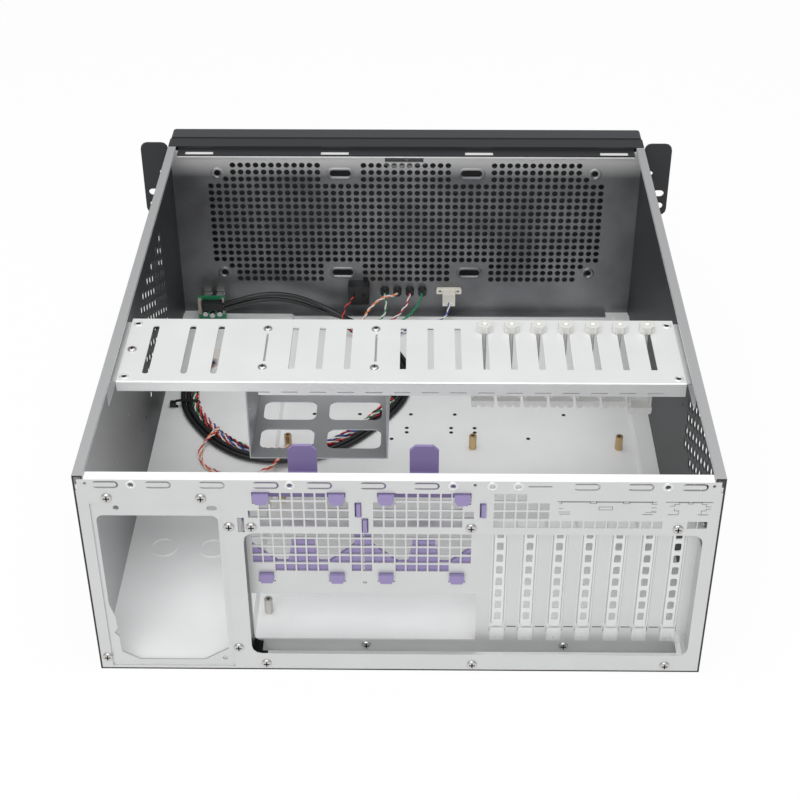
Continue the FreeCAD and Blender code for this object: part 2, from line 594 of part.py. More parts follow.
def card_bar():
    """The bar across the case: a pressed channel with slots for the clamps and for spare positions."""
    top = BAR_TOP
    plate = block(-BAR_HALF_W, BAR_HALF_W, BAR_NEAR, BAR_FAR, top - SHEET, top)
    short = block(BAR_SKIRT_STEP_X, BAR_HALF_W, BAR_NEAR, BAR_NEAR + SHEET, top - BAR_SKIRT_SHORT, top)
    longer = block(-BAR_HALF_W, BAR_SKIRT_STEP_X, BAR_NEAR, BAR_NEAR + SHEET, top - BAR_SKIRT_LONG, top)
    front = block(-BAR_HALF_W, BAR_HALF_W, BAR_FAR - SHEET, BAR_FAR, top - BAR_SKIRT_FRONT, top)
    bar = join([plate, short, longer, front])
    edges = [e for e in bar.Edges if abs(e.tangentAt(e.FirstParameter).x) > 0.9
             and abs(e.BoundBox.ZMax - top) < 0.01 and abs(e.BoundBox.YMax - y_at(BAR_NEAR)) < 0.01]
    bar = bar.makeFillet(1.0, edges)
    cuts = []
    for k in range(-10, 5):
        x = BAR_SLOT_ORIGIN_X + SLOT_PITCH * k
        if k not in (1, 5) and x > -190 and x < 90:
            cuts.append(block(x - BAR_SLOT_W / 2, x + BAR_SLOT_W / 2, BAR_SLOT_NEAR, BAR_SLOT_FAR, top - 2, top + 1))
    for x in (185.7, 157.8, 136.2):
        cuts.append(round_block(x - 2.4, x + 2.4, 128.3, 192.6, top - 2, top + 1, 2.38, "Z"))
    for x in (100.6, 18.9):
        cuts.append(block(x - 0.8, x + 0.8, 145, 182, top - 2, top + 1))
    for k in range(15):
        x = 100.6 - SLOT_PITCH * k
        cuts.append(block(x - 6, x + 6, BAR_NEAR - 1, BAR_NEAR + 3, top - 9.2, top - 8.4))
    cuts += [post(1.6, x, depth, top - 3, top + 1) for x, depth in CRADLE_SCREWS]
    cuts += [post(1.6, s * 200.2, depth, top - 3, top + 1) for s in (1, -1) for depth in BAR_CORNERS]
    cuts.append(post(1.6, *BAR_END_SCREW, top - 3, top + 1))
    return bar.cut(cuts).removeSplitter()


def bar_ledge(side):
    """The angle on a side wall that one end of the bar rests on."""
    wall = side * (INNER_X - FIT)
    top = BAR_TOP - SHEET
    inner = side * (BAR_HALF_W - 14)
    shelf = block(wall, inner, BAR_NEAR + 2, BAR_FAR - 3, top - SHEET, top)
    flange = block(wall, wall - side * SHEET, BAR_NEAR + 2, BAR_FAR - 3, top - 22, top)
    cuts = [post(1.6, side * 200.2, depth, top - 3, top + 1) for depth in BAR_CORNERS]
    cuts.append(post(1.6, side * BAR_END_SCREW[0], BAR_END_SCREW[1], top - 3, top + 1))
    return join([shelf, flange]).cut(cuts)


def clamp_knob(x):
    """A thumb nut with scalloped sides and a bore for the stem."""
    base = BAR_TOP + KNOB_GAP
    ring = []
    for k in range(16):
        turn = 2 * math.pi * k / 16
        reach = KNOB_R if k % 2 else KNOB_R * 0.84
        ring.append(V(x + reach * math.cos(turn), y_at(CLAMP_DEPTH) + reach * math.sin(turn), base))
    knob = Part.Face(Part.makePolygon(ring + ring[:1])).extrude(V(0, 0, KNOB_H))
    return knob.cut(post(STEM_R + 0.3, x, CLAMP_DEPTH, base - 1, base + KNOB_H + 1))


def clamp_foot(x, drop):
    """The foot below the bar: a grooved pad on two arms, with a round stem up through the nut."""
    z = FOOT_Z - drop
    half = FOOT_W / 2
    near, far = CLAMP_DEPTH - FOOT_L / 2, CLAMP_DEPTH + FOOT_L / 2
    pad = block(x - half, x + half, near, far, z + 2.0, z + 2.0 + FOOT_H)
    ribs = [round_block(x + c - 2.4, x + c + 2.4, near, far, z, z + 3.0, 1.0) for c in (-6.2, 0, 6.2)]
    arms = [block(x + s * half, x + s * (half - 2.0), near + 4, far - 4, z + 3, FOOT_TOP - drop) for s in (1, -1)]
    bridge = block(x - half, x + half, near + 4, far - 4, FOOT_TOP - drop - 3, FOOT_TOP - drop)
    stem = post(STEM_R, x, CLAMP_DEPTH, FOOT_TOP - drop - 1, BAR_TOP + KNOB_GAP + KNOB_H + 0.3)
    return join([pad] + ribs + arms + [bridge, stem]).removeSplitter()


def drive_cradle():
    """The hanging cradle for a drive: a folded tray with four-cornered windows, hung from the bar."""
    t = CRADLE_T
    half = DRIVE_W / 2 + t
    hang = BAR_TOP - SHEET
    left, right = CRADLE_X + half, CRADLE_X - half
    y = y_at(CRADLE_NEAR + CRADLE_L)
    line = [(left - 16, y, hang), (left, y, hang), (left, y, CRADLE_Z - t), (right, y, CRADLE_Z - t),
            (right, y, hang), (right + 16, y, hang)]
    tray = folded(line, (0, CRADLE_L, 0), t)
    cuts = []
    for row in range(3):
        near = CRADLE_NEAR + 11.5 + 36.5 * row
        for middle in (CRADLE_X + 25.5, CRADLE_X - 25.5):
            cuts.append(round_block(middle - 20.5, middle + 20.5, near, near + 24.5, CRADLE_Z - 3, CRADLE_Z + 2, 5.5, "Z"))
    for depth in (CRADLE_NEAR + 16, CRADLE_NEAR + 104):
        for z in (CRADLE_Z + 6.5, CRADLE_Z + 34):
            cuts.append(axle(1.8, right - 2, left + 2, depth, z))
    cuts += [post(1.6, x, depth, hang - 3, hang + 1) for x, depth in CRADLE_SCREWS]
    cuts.append(block(right - 1, left + 1, BAR_FAR - SHEET - 0.3, CRADLE_NEAR + CRADLE_L + 1, CRADLE_LOW_Z, hang + 1))
    return tray.cut(cuts)


# ---------------------------------------------------------------- front


def fan_hole_places():
    """Front fan screw holes: round ones at the ends, shared slots between neighbours."""
    half = FRONT_FAN_HOLES / 2
    ends = [(s * (FRONT_FAN_PITCH + half), FRONT_FAN_Z + t * half) for s in (1, -1) for t in (1, -1)]
    shared = [(s * FRONT_FAN_PITCH / 2, FRONT_FAN_Z + t * half) for s in (1, -1) for t in (1, -1)]
    return ends, shared


def front_wall():
    """The inner front wall with its vent field, fan holes, control holes and hooked top flange."""
    half = INNER_X - FIT
    near, far = TUB_L, TUB_L + SHEET
    top = WALL_TOP
    wall = block(-half, half, near, far, SHEET + FIT, top)
    flange = block(-half + 8, half - 8, near - WALL_FLANGE_L, far, top - SHEET, top)
    foot = block(-half + 22, half - 22, near - 9, far, SHEET, 2 * SHEET)
    wall = join([wall, flange, foot])
    ends, shared = fan_hole_places()
    cuts = [rod(2.8, x, near - 1, far + 1, z, 0) for x, z in ends]
    cuts += [obround(x, z, 19.0, 6.0, near - 1, far + 1) for x, z in shared]
    step, size = 17.6, 11.2
    for n in range(21):
        for m in range(7):
            x = step * (n - 10)
            z = FRONT_FAN_Z + step * (m - 3)
            clear = all(abs(x - hx) > 18 or abs(z - hz) > 11 for hx, hz in ends + shared)
            if clear:
                cuts.append(block(x - size / 2, x + size / 2, near - 1, far + 1, z - size / 2, z + size / 2))
    cuts.append(block(-16, 19, near - 1, far + 1, WALL_TOP - 12.2, WALL_TOP - 2.7))
    cuts.append(block(SWITCH_X - 6.3, SWITCH_X + 6.3, near - 1, far + 1, CONTROL_Z - 5.3, CONTROL_Z + 7.3))
    cuts += [rod(3.2, x, near - 1, far + 1, CONTROL_Z) for x in LED_XS]
    cuts += [block(x - 3.6, x + 3.6, near - 1, far + 1, 9.5, 23.5) for x in USB_XS]
    return wall.cut(cuts).removeSplitter()


SWITCH_X = 45.0
LED_XS = (20.3, 8.2, -3.6, -15.6)
USB_XS = (178.0, 190.0)
USB_BOARD_DEPTH = TUB_L - 19.0
SENSOR_X = -41.0


def latch_plate():
    """The small plate closing the notch at the top of the front wall, with one hole."""
    near = TUB_L
    plate = block(-18, 21, near + SHEET + FIT, near + 2 * SHEET + FIT, WALL_TOP - 14.5, WALL_TOP - 1)
    return plate.cut([rod(2.0, -0.6, near - 3, near + 5, WALL_TOP - 9)])


def front_frame():
    """The black frame between the tub and the door: a folded ring with an inward front edge."""
    half = CASE_W / 2
    near, far = TUB_L + SHEET, FRONT_DEPTH
    ring = block(-half, half, near, far, 0, CASE_H)
    ring = ring.cut(block(-half + SHEET, half - SHEET, near - 1, far + 1, SHEET, CASE_H - SHEET))
    edge = block(-half, half, far - SHEET, far, 0, CASE_H)
    edge = edge.cut(round_block(-half + FRAME_EDGE, half - FRAME_EDGE, far - 3, far + 1, FRAME_EDGE + 2,
                                CASE_H - FRAME_EDGE, 4.0))
    lip_z = WALL_TOP + 0.1
    lip = block(-half + 9, half - 9, near - WALL_FLANGE_L - SHEET, near + SHEET, lip_z, lip_z + SHEET)
    step = block(-half + 9, half - 9, near, near + SHEET, lip_z, CASE_H - SHEET / 2)
    slots = [block(x - 12.7, x + 12.7, near - 10.0, near - 3.0, lip_z - 1, lip_z + 3)
             for x in (186.5, 64, -66, -187.5)]
    pin_z = DOOR_Z + HINGE_UP
    lugs = []
    for s in (1, -1):
        outer = s * (half - DOOR_T - 1.2)
        inner = s * (half - DOOR_T - 4.2)
        lug = block(outer, inner, far - SHEET, DOOR_DEPTH + HINGE_IN, pin_z - 3.6, pin_z + 3.6)
        nose = axle(3.6, outer, inner, DOOR_DEPTH + HINGE_IN, pin_z, 0)
        lugs.append(lug.fuse(nose))
    body = join([ring, edge, lip.cut(slots), step] + lugs)
    bores = axle(HINGE_PIN_R + 0.3, -half, half, DOOR_DEPTH + HINGE_IN, pin_z, 0)
    return body.cut([bores]).removeSplitter()


def hinge_pins():
    """Two steel pins through the door's cheeks and the frame's lugs."""
    half = CASE_W / 2
    pins = []
    for s in (1, -1):
        pins.append(axle(HINGE_PIN_R, s * (half - 0.1), s * (half - DOOR_T - 5.0), DOOR_DEPTH + HINGE_IN,
                         DOOR_Z + HINGE_UP, 0))
    return Part.makeCompound(pins)


LOCK_Z = DOOR_Z + DOOR_H - 22.0
LOCK_R = 8.0
LOCK_CAM_L = 17.0


def front_door():
    """The drop-down front door: a shallow black pan with the lock hole."""
    half = CASE_W / 2
    near, far = DOOR_DEPTH, DOOR_DEPTH + DOOR_L
    pan = round_block(-half, half, near, far, DOOR_Z, DOOR_Z + DOOR_H, 3.0)
    inner = block(-half + DOOR_T, half - DOOR_T, near - 1, far - DOOR_T, DOOR_Z + DOOR_T, DOOR_Z + DOOR_H - DOOR_T)
    pan = pan.cut(inner)
    relief = block(-half - 1, half + 1, near - 1, near + HINGE_IN - 5, DOOR_Z - 1, DOOR_Z + HINGE_UP + 5)
    floor_relief = block(-half - 1, half + 1, near - 1, far - 4, DOOR_Z - 1, DOOR_Z + DOOR_T + 0.1)
    cuts = [relief, floor_relief]
    cuts.append(rod(LOCK_R + 0.3, 0, far - 4, far + 1, LOCK_Z, 0))
    cuts.append(axle(HINGE_PIN_R + 0.3, -half - 1, half + 1, near + HINGE_IN, DOOR_Z + HINGE_UP, 0))
    return pan.cut(cuts).removeSplitter()


def door_lock():
    """The lock barrel with its keyway and the cam on its inner end."""
    far = DOOR_DEPTH + DOOR_L
    cam_far = DOOR_DEPTH - 4.5
    barrel = rod(LOCK_R, 0, cam_far - 2, far + 0.6, LOCK_Z, 0)
    collar = rod(LOCK_R + 2.2, 0, far + 0.3, far + 2.0, LOCK_Z, 0)
    key = block(-1.1, 1.1, far + 0.6, far + 3, LOCK_Z - 4, LOCK_Z + 4)
    cam = block(-5, LOCK_CAM_L, cam_far - 2.2, cam_far, LOCK_Z - 5, LOCK_Z + 5)
    return join([barrel, collar, cam]).cut([key])


def rack_ear(side):
    """One black rack ear: two lobes with slots for the rack screws, on an angle along the side wall."""
    outer = side * EAR_SPAN / 2
    wall = side * (CASE_W / 2 + 0.05)
    inner = wall + side * EAR_T
    near = TUB_L + 6
    top = RACK_H - 0.8
    lobes = []
    for low in (0.8, top - EAR_LOBE_H):
        lobes.append(round_block(inner - side * 0.5, outer, near, near + EAR_T, low, low + EAR_LOBE_H, 6.0))
    leg = block(wall, inner, near - 40, near + EAR_T, 14, top - 14)
    web = block(wall, inner, near, near + EAR_T, 14, top - 14)
    bridge = block(inner, inner + side * 5.0, near, near + EAR_T, EAR_LOBE_H - 8, top - EAR_LOBE_H + 8)
    cuts = []
    for z in (EAR_SLOT_HIGH, EAR_SLOT_LOW, RACK_H - EAR_SLOT_LOW, RACK_H - EAR_SLOT_HIGH):
        cuts.append(bolt_slot(side * EAR_SLOT_SPAN / 2, z, EAR_SLOT_L, EAR_SLOT_H, near - 1, near + EAR_T + 1))
    cuts += [rod(2.6, side * 223.5, near - 1, near + EAR_T + 1, z) for z in (RACK_H - 30.3, 30.3)]
    for z in (30, RACK_H / 2, RACK_H - 31.8):
        cuts.append(axle(2.0, side * (CASE_W / 2 - 4), side * (CASE_W / 2 + 4), near - 25, z))
    return join(lobes + [leg, web, bridge]).cut(cuts).removeSplitter()


# ---------------------------------------------------------------- front controls and boards


def power_switch():
    """The housing of the push switch behind the front wall, with two terminals."""
    near = TUB_L - 13
    shell = round_block(SWITCH_X - 10, SWITCH_X + 10, near, TUB_L - 0.05, CONTROL_Z - 9, CONTROL_Z + 10.5, 1.2)
    well = block(SWITCH_X - 5.6, SWITCH_X + 5.6, TUB_L - 9, TUB_L + 1, CONTROL_Z - 4.6, CONTROL_Z + 6.6)
    pins = [block(SWITCH_X + c - 1.0, SWITCH_X + c + 1.0, near - 3.5, near + 0.5, CONTROL_Z + 1, CONTROL_Z + 1.8)
            for c in (-4.5, 4.5)]
    return join([shell] + pins).cut([well])


def power_button():
    """The moving cap of the power switch, through the front wall."""
    return round_block(SWITCH_X - 5.2, SWITCH_X + 5.2, TUB_L - 5.5, TUB_L + SHEET + 4.0, CONTROL_Z - 4.2,
                       CONTROL_Z + 6.2, 1.0)


def led_holders():
    """Four push-in holders for the indicator lamps, each with its lens in the front wall."""
    holders = []
    for x in LED_XS:
        body = rod(4.3, x, TUB_L - 6, TUB_L - 0.05, CONTROL_Z)
        lens = rod(2.9, x, TUB_L - 1, TUB_L + SHEET + 1.2, CONTROL_Z)
        holders.append(join([body, lens]))
    return Part.makeCompound(holders)


def thermal_sensor():
    """The pale T-shaped sensor plug on the front wall."""
    near = TUB_L - 4.5
    wings = round_block(SENSOR_X - 12, SENSOR_X + 12, TUB_L - 3, TUB_L - 0.05, CONTROL_Z - 3, CONTROL_Z + 3, 1.5)
    body = block(SENSOR_X - 6, SENSOR_X + 6, near - 4, TUB_L - 0.5, CONTROL_Z - 13, CONTROL_Z + 2.5)
    cuts = [rod(1.5, SENSOR_X + s * 8.6, TUB_L - 5, TUB_L + 1, CONTROL_Z) for s in (1, -1)]
    cuts.append(block(SENSOR_X - 4.4, SENSOR_X + 4.4, near - 5, near - 2.6, CONTROL_Z - 10, CONTROL_Z - 1))
    return join([wings, body]).cut(cuts)


def usb_board():
    """The small green board that carries the front USB ports."""
    board = block(171.5, 198.0, USB_BOARD_DEPTH, USB_BOARD_DEPTH + 1.6, SHEET + DECK_RISE + 0.1, 29.5)
    holes = [rod(1.6, x, USB_BOARD_DEPTH - 1, USB_BOARD_DEPTH + 3, 26.5) for x in (174.5, 195.0)]
    return board.cut(holes)


def usb_ports():
    """Two upright metal port shells between the board and the front wall."""
    shells = []
    for x in USB_XS:
        shell = block(x - 3.3, x + 3.3, USB_BOARD_DEPTH + 1.6, TUB_L + SHEET + 0.6, 9.8, 23.2)
        hollow = block(x - 2.7, x + 2.7, TUB_L - 8, TUB_L + 3, 10.5, 22.5)
        tongue = block(x - 0.2, x + 1.4, TUB_L - 9, TUB_L - 0.5, 11.3, 21.7)
        shells.append(shell.cut(hollow).fuse(tongue))
    return Part.makeCompound(shells)


def usb_plug():
    """The header plug on the board that both black leads come out of."""
    plug = block(174.0, 193.0, USB_BOARD_DEPTH - 9, USB_BOARD_DEPTH - 0.05, 17.0, 25.0)
    shroud = block(176.0, 191.0, USB_BOARD_DEPTH - 3, USB_BOARD_DEPTH - 0.05, 15.6, 26.4)
    return join([plug, shroud])


def screws():
    """The screws of the rear, each a separate solid."""
    solids = [pan_head(x, 0, z) for x, z in REAR_SCREWS]
    solids += [pan_head(x, RECESS, z) for x, z in PANEL_SCREWS]
    return Part.makeCompound(solids)


def bar_screws():
    """The screws in the top of the bar."""
    solids = [flat_screw(x, depth, BAR_TOP) for x, depth in CRADLE_SCREWS]
    solids.append(flat_screw(*BAR_END_SCREW, BAR_TOP))
    return Part.makeCompound(solids)


# ---------------------------------------------------------------- leads


def lead(points, diameter):
    """A lead as straight runs joined by tangent arcs, swept as an eight-sided tube of the round one's area."""
    pts = [V(*p) for p in points]
    edges = []
    start = pts[0]
    radii = []
    for a, b, c in zip(pts, pts[1:], pts[2:]):
        u, w = (a - b), (c - b)
        run = min(u.Length, w.Length)
        u.normalize()
        w.normalize()
        turn = math.pi - u.getAngle(w)
        trim = 0.45 * run
        radii.append(round(trim / math.tan(turn / 2), 1))
        first, last = b + u * trim, b + w * trim
        bisector = (u + w)
        bisector.normalize()
        radius = trim / math.tan(turn / 2)
        centre = b + bisector * math.hypot(radius, trim)
        middle = centre - bisector * radius
        edges.append(Part.LineSegment(start, first).toShape())
        edges.append(Part.Arc(first, middle, last).toShape())
        start = last
    edges.append(Part.LineSegment(start, pts[-1]).toShape())
    path = Part.Wire(edges)
    direction = pts[1] - pts[0]
    size = diameter / 2 * math.sqrt(math.pi / 4 / math.sin(math.pi / 4))
    ring = pin(size, pts[0], direction, 8).Faces
    profile = [f for f in ring if f.CenterOfMass.distanceToPoint(pts[0]) < 1e-4][0].OuterWire
    tube = path.makePipeShell([profile], True, False)
    print("  length", round(path.Length), "radii", radii, "ratio",
          round(tube.Volume / (math.pi * diameter ** 2 / 4 * path.Length), 3))
    return tube


USB_LEAD_D = 4.4
BUNDLE_D = 6.4
WIRE_D = 2.2
PLUG_X = 174.0
ON_TRAY = SHEET + USB_LEAD_D / 2 + 0.25
ON_DECK = ON_TRAY + DECK_RISE

# The loop of leads on the floor, from the front, round the left rear and back under the bar
FLOOR_LOOP = ((2.0, 386.0, ON_TRAY), (-1.0, 358.0, ON_TRAY), (4.0, 330.0, ON_TRAY), (22.0, 299.0, ON_TRAY),
              (46.0, 270.0, ON_TRAY), (71.0, 250.0, ON_TRAY + 1.5), (99.0, 240.0, ON_DECK + 1.0), (130.0, 243.0, ON_DECK + 0.4),
              (155.0, 260.0, ON_DECK), (173.0, 283.0, ON_DECK), (188.0, 309.0, ON_DECK), (193.0, 336.0, ON_DECK),
              (192.0, 363.0, ON_DECK), (182.0, 386.0, ON_DECK))


def beside(points, gap, lift=0.0):
    """The same route moved sideways by a gap, positive to the right when seen from above."""
    moved = []
    for k, (x, depth, z) in enumerate(points):
        before, after = points[max(k - 1, 0)], points[min(k + 1, len(points) - 1)]
        dx, dd = after[0] - before[0], after[1] - before[1]
        size = math.hypot(dx, dd)
        moved.append((x - gap * dd / size, depth + gap * dx / size, z + lift))
    return moved


def usb_route(number):
    """One USB lead: out of the plug, along the front wall, down to the floor and round the loop."""
    start = [(PLUG_X - 0.7, 457.5, 23.3), (154.0, 458.5, 29.5), (129.0, 462.5, 33.0), (103.0, 465.5, 28.0),
             (80.0, 465.0, 17.5), (59.0, 458.0, 9.0)]
    floor = [(38.0, 441.0, ON_TRAY), (17.0, 417.0, ON_TRAY)] + list(FLOOR_LOOP)
    if number == 0:
        return start + floor
    under = [(x, depth, z - 4.8 - 0.45 * k) for k, (x, depth, z) in enumerate(start[:-1])]
    first = beside(start[-1:] + floor, -4.8)
    first[0] = (first[0][0], first[0][1], first[0][2] - 3.0)
    return under + first


def bundle_route():
    """The coloured bundle: from the front controls to the inner side of the loop."""
    rise = (BUNDLE_D - USB_LEAD_D) / 2 + 0.2
    floor = [(38.0, 441.0, ON_TRAY), (17.0, 417.0, ON_TRAY)] + list(FLOOR_LOOP)
    return beside(floor, 6.0, rise)


def wire_routes():
    """The thin pairs between the front controls and the start of the bundle, and the pair looped aside."""
    back = TUB_L - 6.7
    return {
        "wire_switch": ((SWITCH_X + 4.5, TUB_L - 17.2, 27.4), (57.0, 453.0, 25.0), (60.0, 444.0, 17.0),
                        (56.0, 437.5, 9.0), (47.0, 436.0, 5.4)),
        "wire_led_1": ((LED_XS[0], back, 26.0), (20.5, 465.0, 27.5), (18.0, 457.0, 21.0), (22.0, 450.5, 13.5),
                       (31.0, 445.0, 9.8), (40.5, 440.5, 8.0)),
        "wire_led_2": ((LED_XS[1], back, 26.0), (9.5, 464.5, 29.5), (21.0, 460.5, 31.0), (33.0, 456.0, 23.0),
                       (40.0, 449.0, 14.0), (44.0, 441.0, 9.2)),
        "wire_led_3": ((LED_XS[2], back, 26.0), (-3.0, 465.5, 24.0), (3.0, 460.0, 15.5), (12.0, 454.0, 9.5),
                       (23.0, 447.0, 7.4), (35.0, 439.5, 8.0)),
        "wire_led_4": ((LED_XS[3], back, 26.0), (-14.5, 465.0, 24.5), (-8.0, 458.5, 17.0), (2.0, 451.5, 10.5),
                       (13.0, 444.0, 7.2), (24.0, 437.0, 7.4), (35.0, 431.0, 9.2)),
        "wire_sensor": ((SENSOR_X, TUB_L - 9.2, 17.0), (-41.5, 465.5, 13.0), (-36.0, 460.5, 7.0),
                        (-24.0, 456.0, 3.5), (-10.0, 449.5, 3.0), (2.0, 441.0, 4.0), (13.0, 432.0, 6.8),
                        (25.0, 425.0, 9.8)),
        "wire_loop": ((158.0, 275.0, 12.6), (168.5, 262.0, 10.6), (173.0, 247.0, 6.6), (167.0, 230.0, 5.6),
                      (150.0, 219.0, 5.6), (130.0, 217.0, 5.6), (112.0, 224.0, 7.0), (103.0, 236.0, 11.6),
                      (97.0, 249.0, 13.6)),
    }


def lead_connectors():
    """The housings at the far ends of the USB leads and the bundle, lying on the deck under the bar."""
    ends = []
    for route, width, height in ((usb_route(0), 5.6, 5.0), (usb_route(1), 5.6, 5.0), (bundle_route(), 10.4, 7.6)):
        (x0, d0, z0), (x1, d1, z1) = route[-2:]
        turn = math.degrees(math.atan2(y_at(d1) - y_at(d0), x1 - x0))
        housing = Part.makeBox(15.0, width, height, V(0.3, -width / 2, -height / 2))
        housing.rotate(V(0, 0, 0), V(0, 0, 1), turn)
        housing.translate(V(x1, y_at(d1), max(z1, SHEET + DECK_RISE + height / 2 + 0.1)))
        ends.append(housing)
    return Part.makeCompound(ends)


def main():
    """Builds every node."""
    export("chassis_tub", chassis_tub())
    export("board_standoffs", standoffs())
    export("rear_panel", rear_panel())
    export("psu_bracket", psu_bracket())
    export("slot_panel", slot_panel())
    for number, x in enumerate(slot_xs(), 1):
        export("slot_cover_%d" % number, slot_cover(x))
    for number in range(2):
        export("fan_holder_%d" % (number + 1), fan_holder(FAN_FIRST_X - FAN_PITCH * number, number == 1))
    export("card_bar", card_bar())
    export("bar_ledge_left", bar_ledge(1))
    export("bar_ledge_right", bar_ledge(-1))
    for number, x in enumerate(clamp_xs(), 1):
        export("clamp_knob_%d" % number, clamp_knob(x))
        export("clamp_foot_%d" % number, clamp_foot(x, LAST_FOOT_DROP if number == CLAMP_COUNT else 0))
    export("drive_cradle", drive_cradle())
    export("front_wall", front_wall())
    export("front_frame", front_frame())
    export("front_door", front_door())
    export("door_hinge_pins", hinge_pins())
    export("door_lock", door_lock())
    export("rack_ear_left", rack_ear(1))
    export("rack_ear_right", rack_ear(-1))
    export("power_switch", power_switch())
    export("power_button", power_button())
    export("led_holders", led_holders())
    export("thermal_sensor", thermal_sensor())
    export("usb_board", usb_board())
    export("usb_ports", usb_ports())
    export("usb_plug", usb_plug())
    export("rear_screws", screws())
    export("bar_screws", bar_screws())
    export("latch_plate", latch_plate())
    export("usb_lead_1", lead([(x, y_at(d), z) for x, d, z in usb_route(0)], USB_LEAD_D))
    export("usb_lead_2", lead([(x, y_at(d), z) for x, d, z in usb_route(1)], USB_LEAD_D))
    export("wire_bundle", lead([(x, y_at(d), z) for x, d, z in bundle_route()], BUNDLE_D))
    for name, route in wire_routes().items():
        export(name, lead([(x, y_at(d), z) for x, d, z in route], WIRE_D))
    export("lead_connectors", lead_connectors())


main()
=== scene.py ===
import math
import bpy
import bmesh
from mathutils import Matrix, Vector
from mathutils.geometry import delaunay_2d_cdt


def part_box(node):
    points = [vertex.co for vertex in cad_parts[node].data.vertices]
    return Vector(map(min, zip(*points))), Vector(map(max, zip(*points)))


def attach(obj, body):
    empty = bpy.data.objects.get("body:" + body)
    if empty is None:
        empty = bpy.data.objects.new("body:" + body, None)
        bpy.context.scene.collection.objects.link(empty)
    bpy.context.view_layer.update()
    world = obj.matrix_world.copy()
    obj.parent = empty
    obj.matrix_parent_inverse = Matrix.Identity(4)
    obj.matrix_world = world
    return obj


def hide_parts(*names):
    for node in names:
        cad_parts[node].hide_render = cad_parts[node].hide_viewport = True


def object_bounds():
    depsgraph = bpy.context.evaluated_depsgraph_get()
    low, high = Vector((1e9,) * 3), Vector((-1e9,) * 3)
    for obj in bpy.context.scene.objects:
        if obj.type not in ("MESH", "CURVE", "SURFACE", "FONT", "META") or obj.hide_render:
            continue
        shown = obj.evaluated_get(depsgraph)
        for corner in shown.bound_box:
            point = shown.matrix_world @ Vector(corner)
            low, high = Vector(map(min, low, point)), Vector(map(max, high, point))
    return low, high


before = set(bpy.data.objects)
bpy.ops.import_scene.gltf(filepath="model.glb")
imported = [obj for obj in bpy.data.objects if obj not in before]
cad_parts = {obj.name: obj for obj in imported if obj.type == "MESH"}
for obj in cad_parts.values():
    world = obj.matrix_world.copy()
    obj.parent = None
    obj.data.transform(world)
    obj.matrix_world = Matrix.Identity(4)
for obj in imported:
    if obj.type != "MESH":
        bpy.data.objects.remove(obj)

cad_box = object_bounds()


# Camera: a short telephoto, raised behind the case and a little to the right of its middle, looking down
# over the rear panel to the front. Depths in this file count forward from the rear panel's outer face.
rear_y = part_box("rear_panel")[1].y
camera_data = bpy.data.cameras.new("camera")
camera_data.sensor_width = 36
camera_data.lens = 71.15
camera_data.shift_x = -0.0049
camera_data.shift_y = 0.0019
camera_data.clip_start = 0.05
camera = bpy.data.objects.new("camera", camera_data)
bpy.context.scene.collection.objects.link(camera)
camera.matrix_world = (Matrix.Translation((-0.0139, rear_y + 0.8143, 0.8184))
                       @ Matrix.Rotation(math.radians(180.717), 4, "Z")
                       @ Matrix.Rotation(math.radians(90 - 35.496), 4, "X")
                       @ Matrix.Rotation(math.radians(-0.146), 4, "Z"))
bpy.context.scene.camera = camera


# Floor and backdrop: a sweep of matt white paper. Round the case it shows just short of pure white to the
# camera and pure white in reflections, and scatters the lamps' light; under the case it is plain matt paper.
MM = 0.001


def linear(hex_code):
    """The linear colour of an sRGB hex code."""
    parts = [int(hex_code[k:k + 2], 16) / 255 for k in (1, 3, 5)]
    return [c / 12.92 if c <= 0.04045 else ((c + 0.055) / 1.055) ** 2.4 for c in parts] + [1.0]


def add(tree, kind, sources=(), **settings):
    """Adds a node with its settings, then its (source, input) pairs, each source a socket or a value."""
    made = tree.nodes.new(kind)
    for name, value in settings.items():
        if name in made.inputs:
            made.inputs[name].default_value = value
        else:
            setattr(made, name, value)
    for source, name in sources:
        if isinstance(source, bpy.types.NodeSocket):
            tree.links.new(source, made.inputs[name])
        else:
            made.inputs[name].default_value = source
    return made


def material(name):
    """A new empty material and its node tree."""
    made = bpy.data.materials.new(name)
    made.use_nodes = True
    made.node_tree.nodes.clear()
    return made, made.node_tree


def zone(tree, **limits):
    """A mask, 1 where all limits in metres hold: above_y, below_z, or beyond_x for both sides of zero."""
    where = add(tree, "ShaderNodeTexCoord")
    spot = add(tree, "ShaderNodeSeparateXYZ", [(where.outputs["Object"], 0)])
    mask = None
    for limit, value in limits.items():
        side, axis = limit.split("_")
        along = spot.outputs[axis.upper()]
        if side == "beyond":
            along = add(tree, "ShaderNodeMath", [(along, 0)], operation="ABSOLUTE").outputs[0]
        test = "LESS_THAN" if side == "below" else "GREATER_THAN"
        held = add(tree, "ShaderNodeMath", [(along, 0), (value, 1)], operation=test).outputs[0]
        if mask is not None:
            held = add(tree, "ShaderNodeMath", [(mask, 0), (held, 1)], operation="MULTIPLY").outputs[0]
        mask = held
    return mask


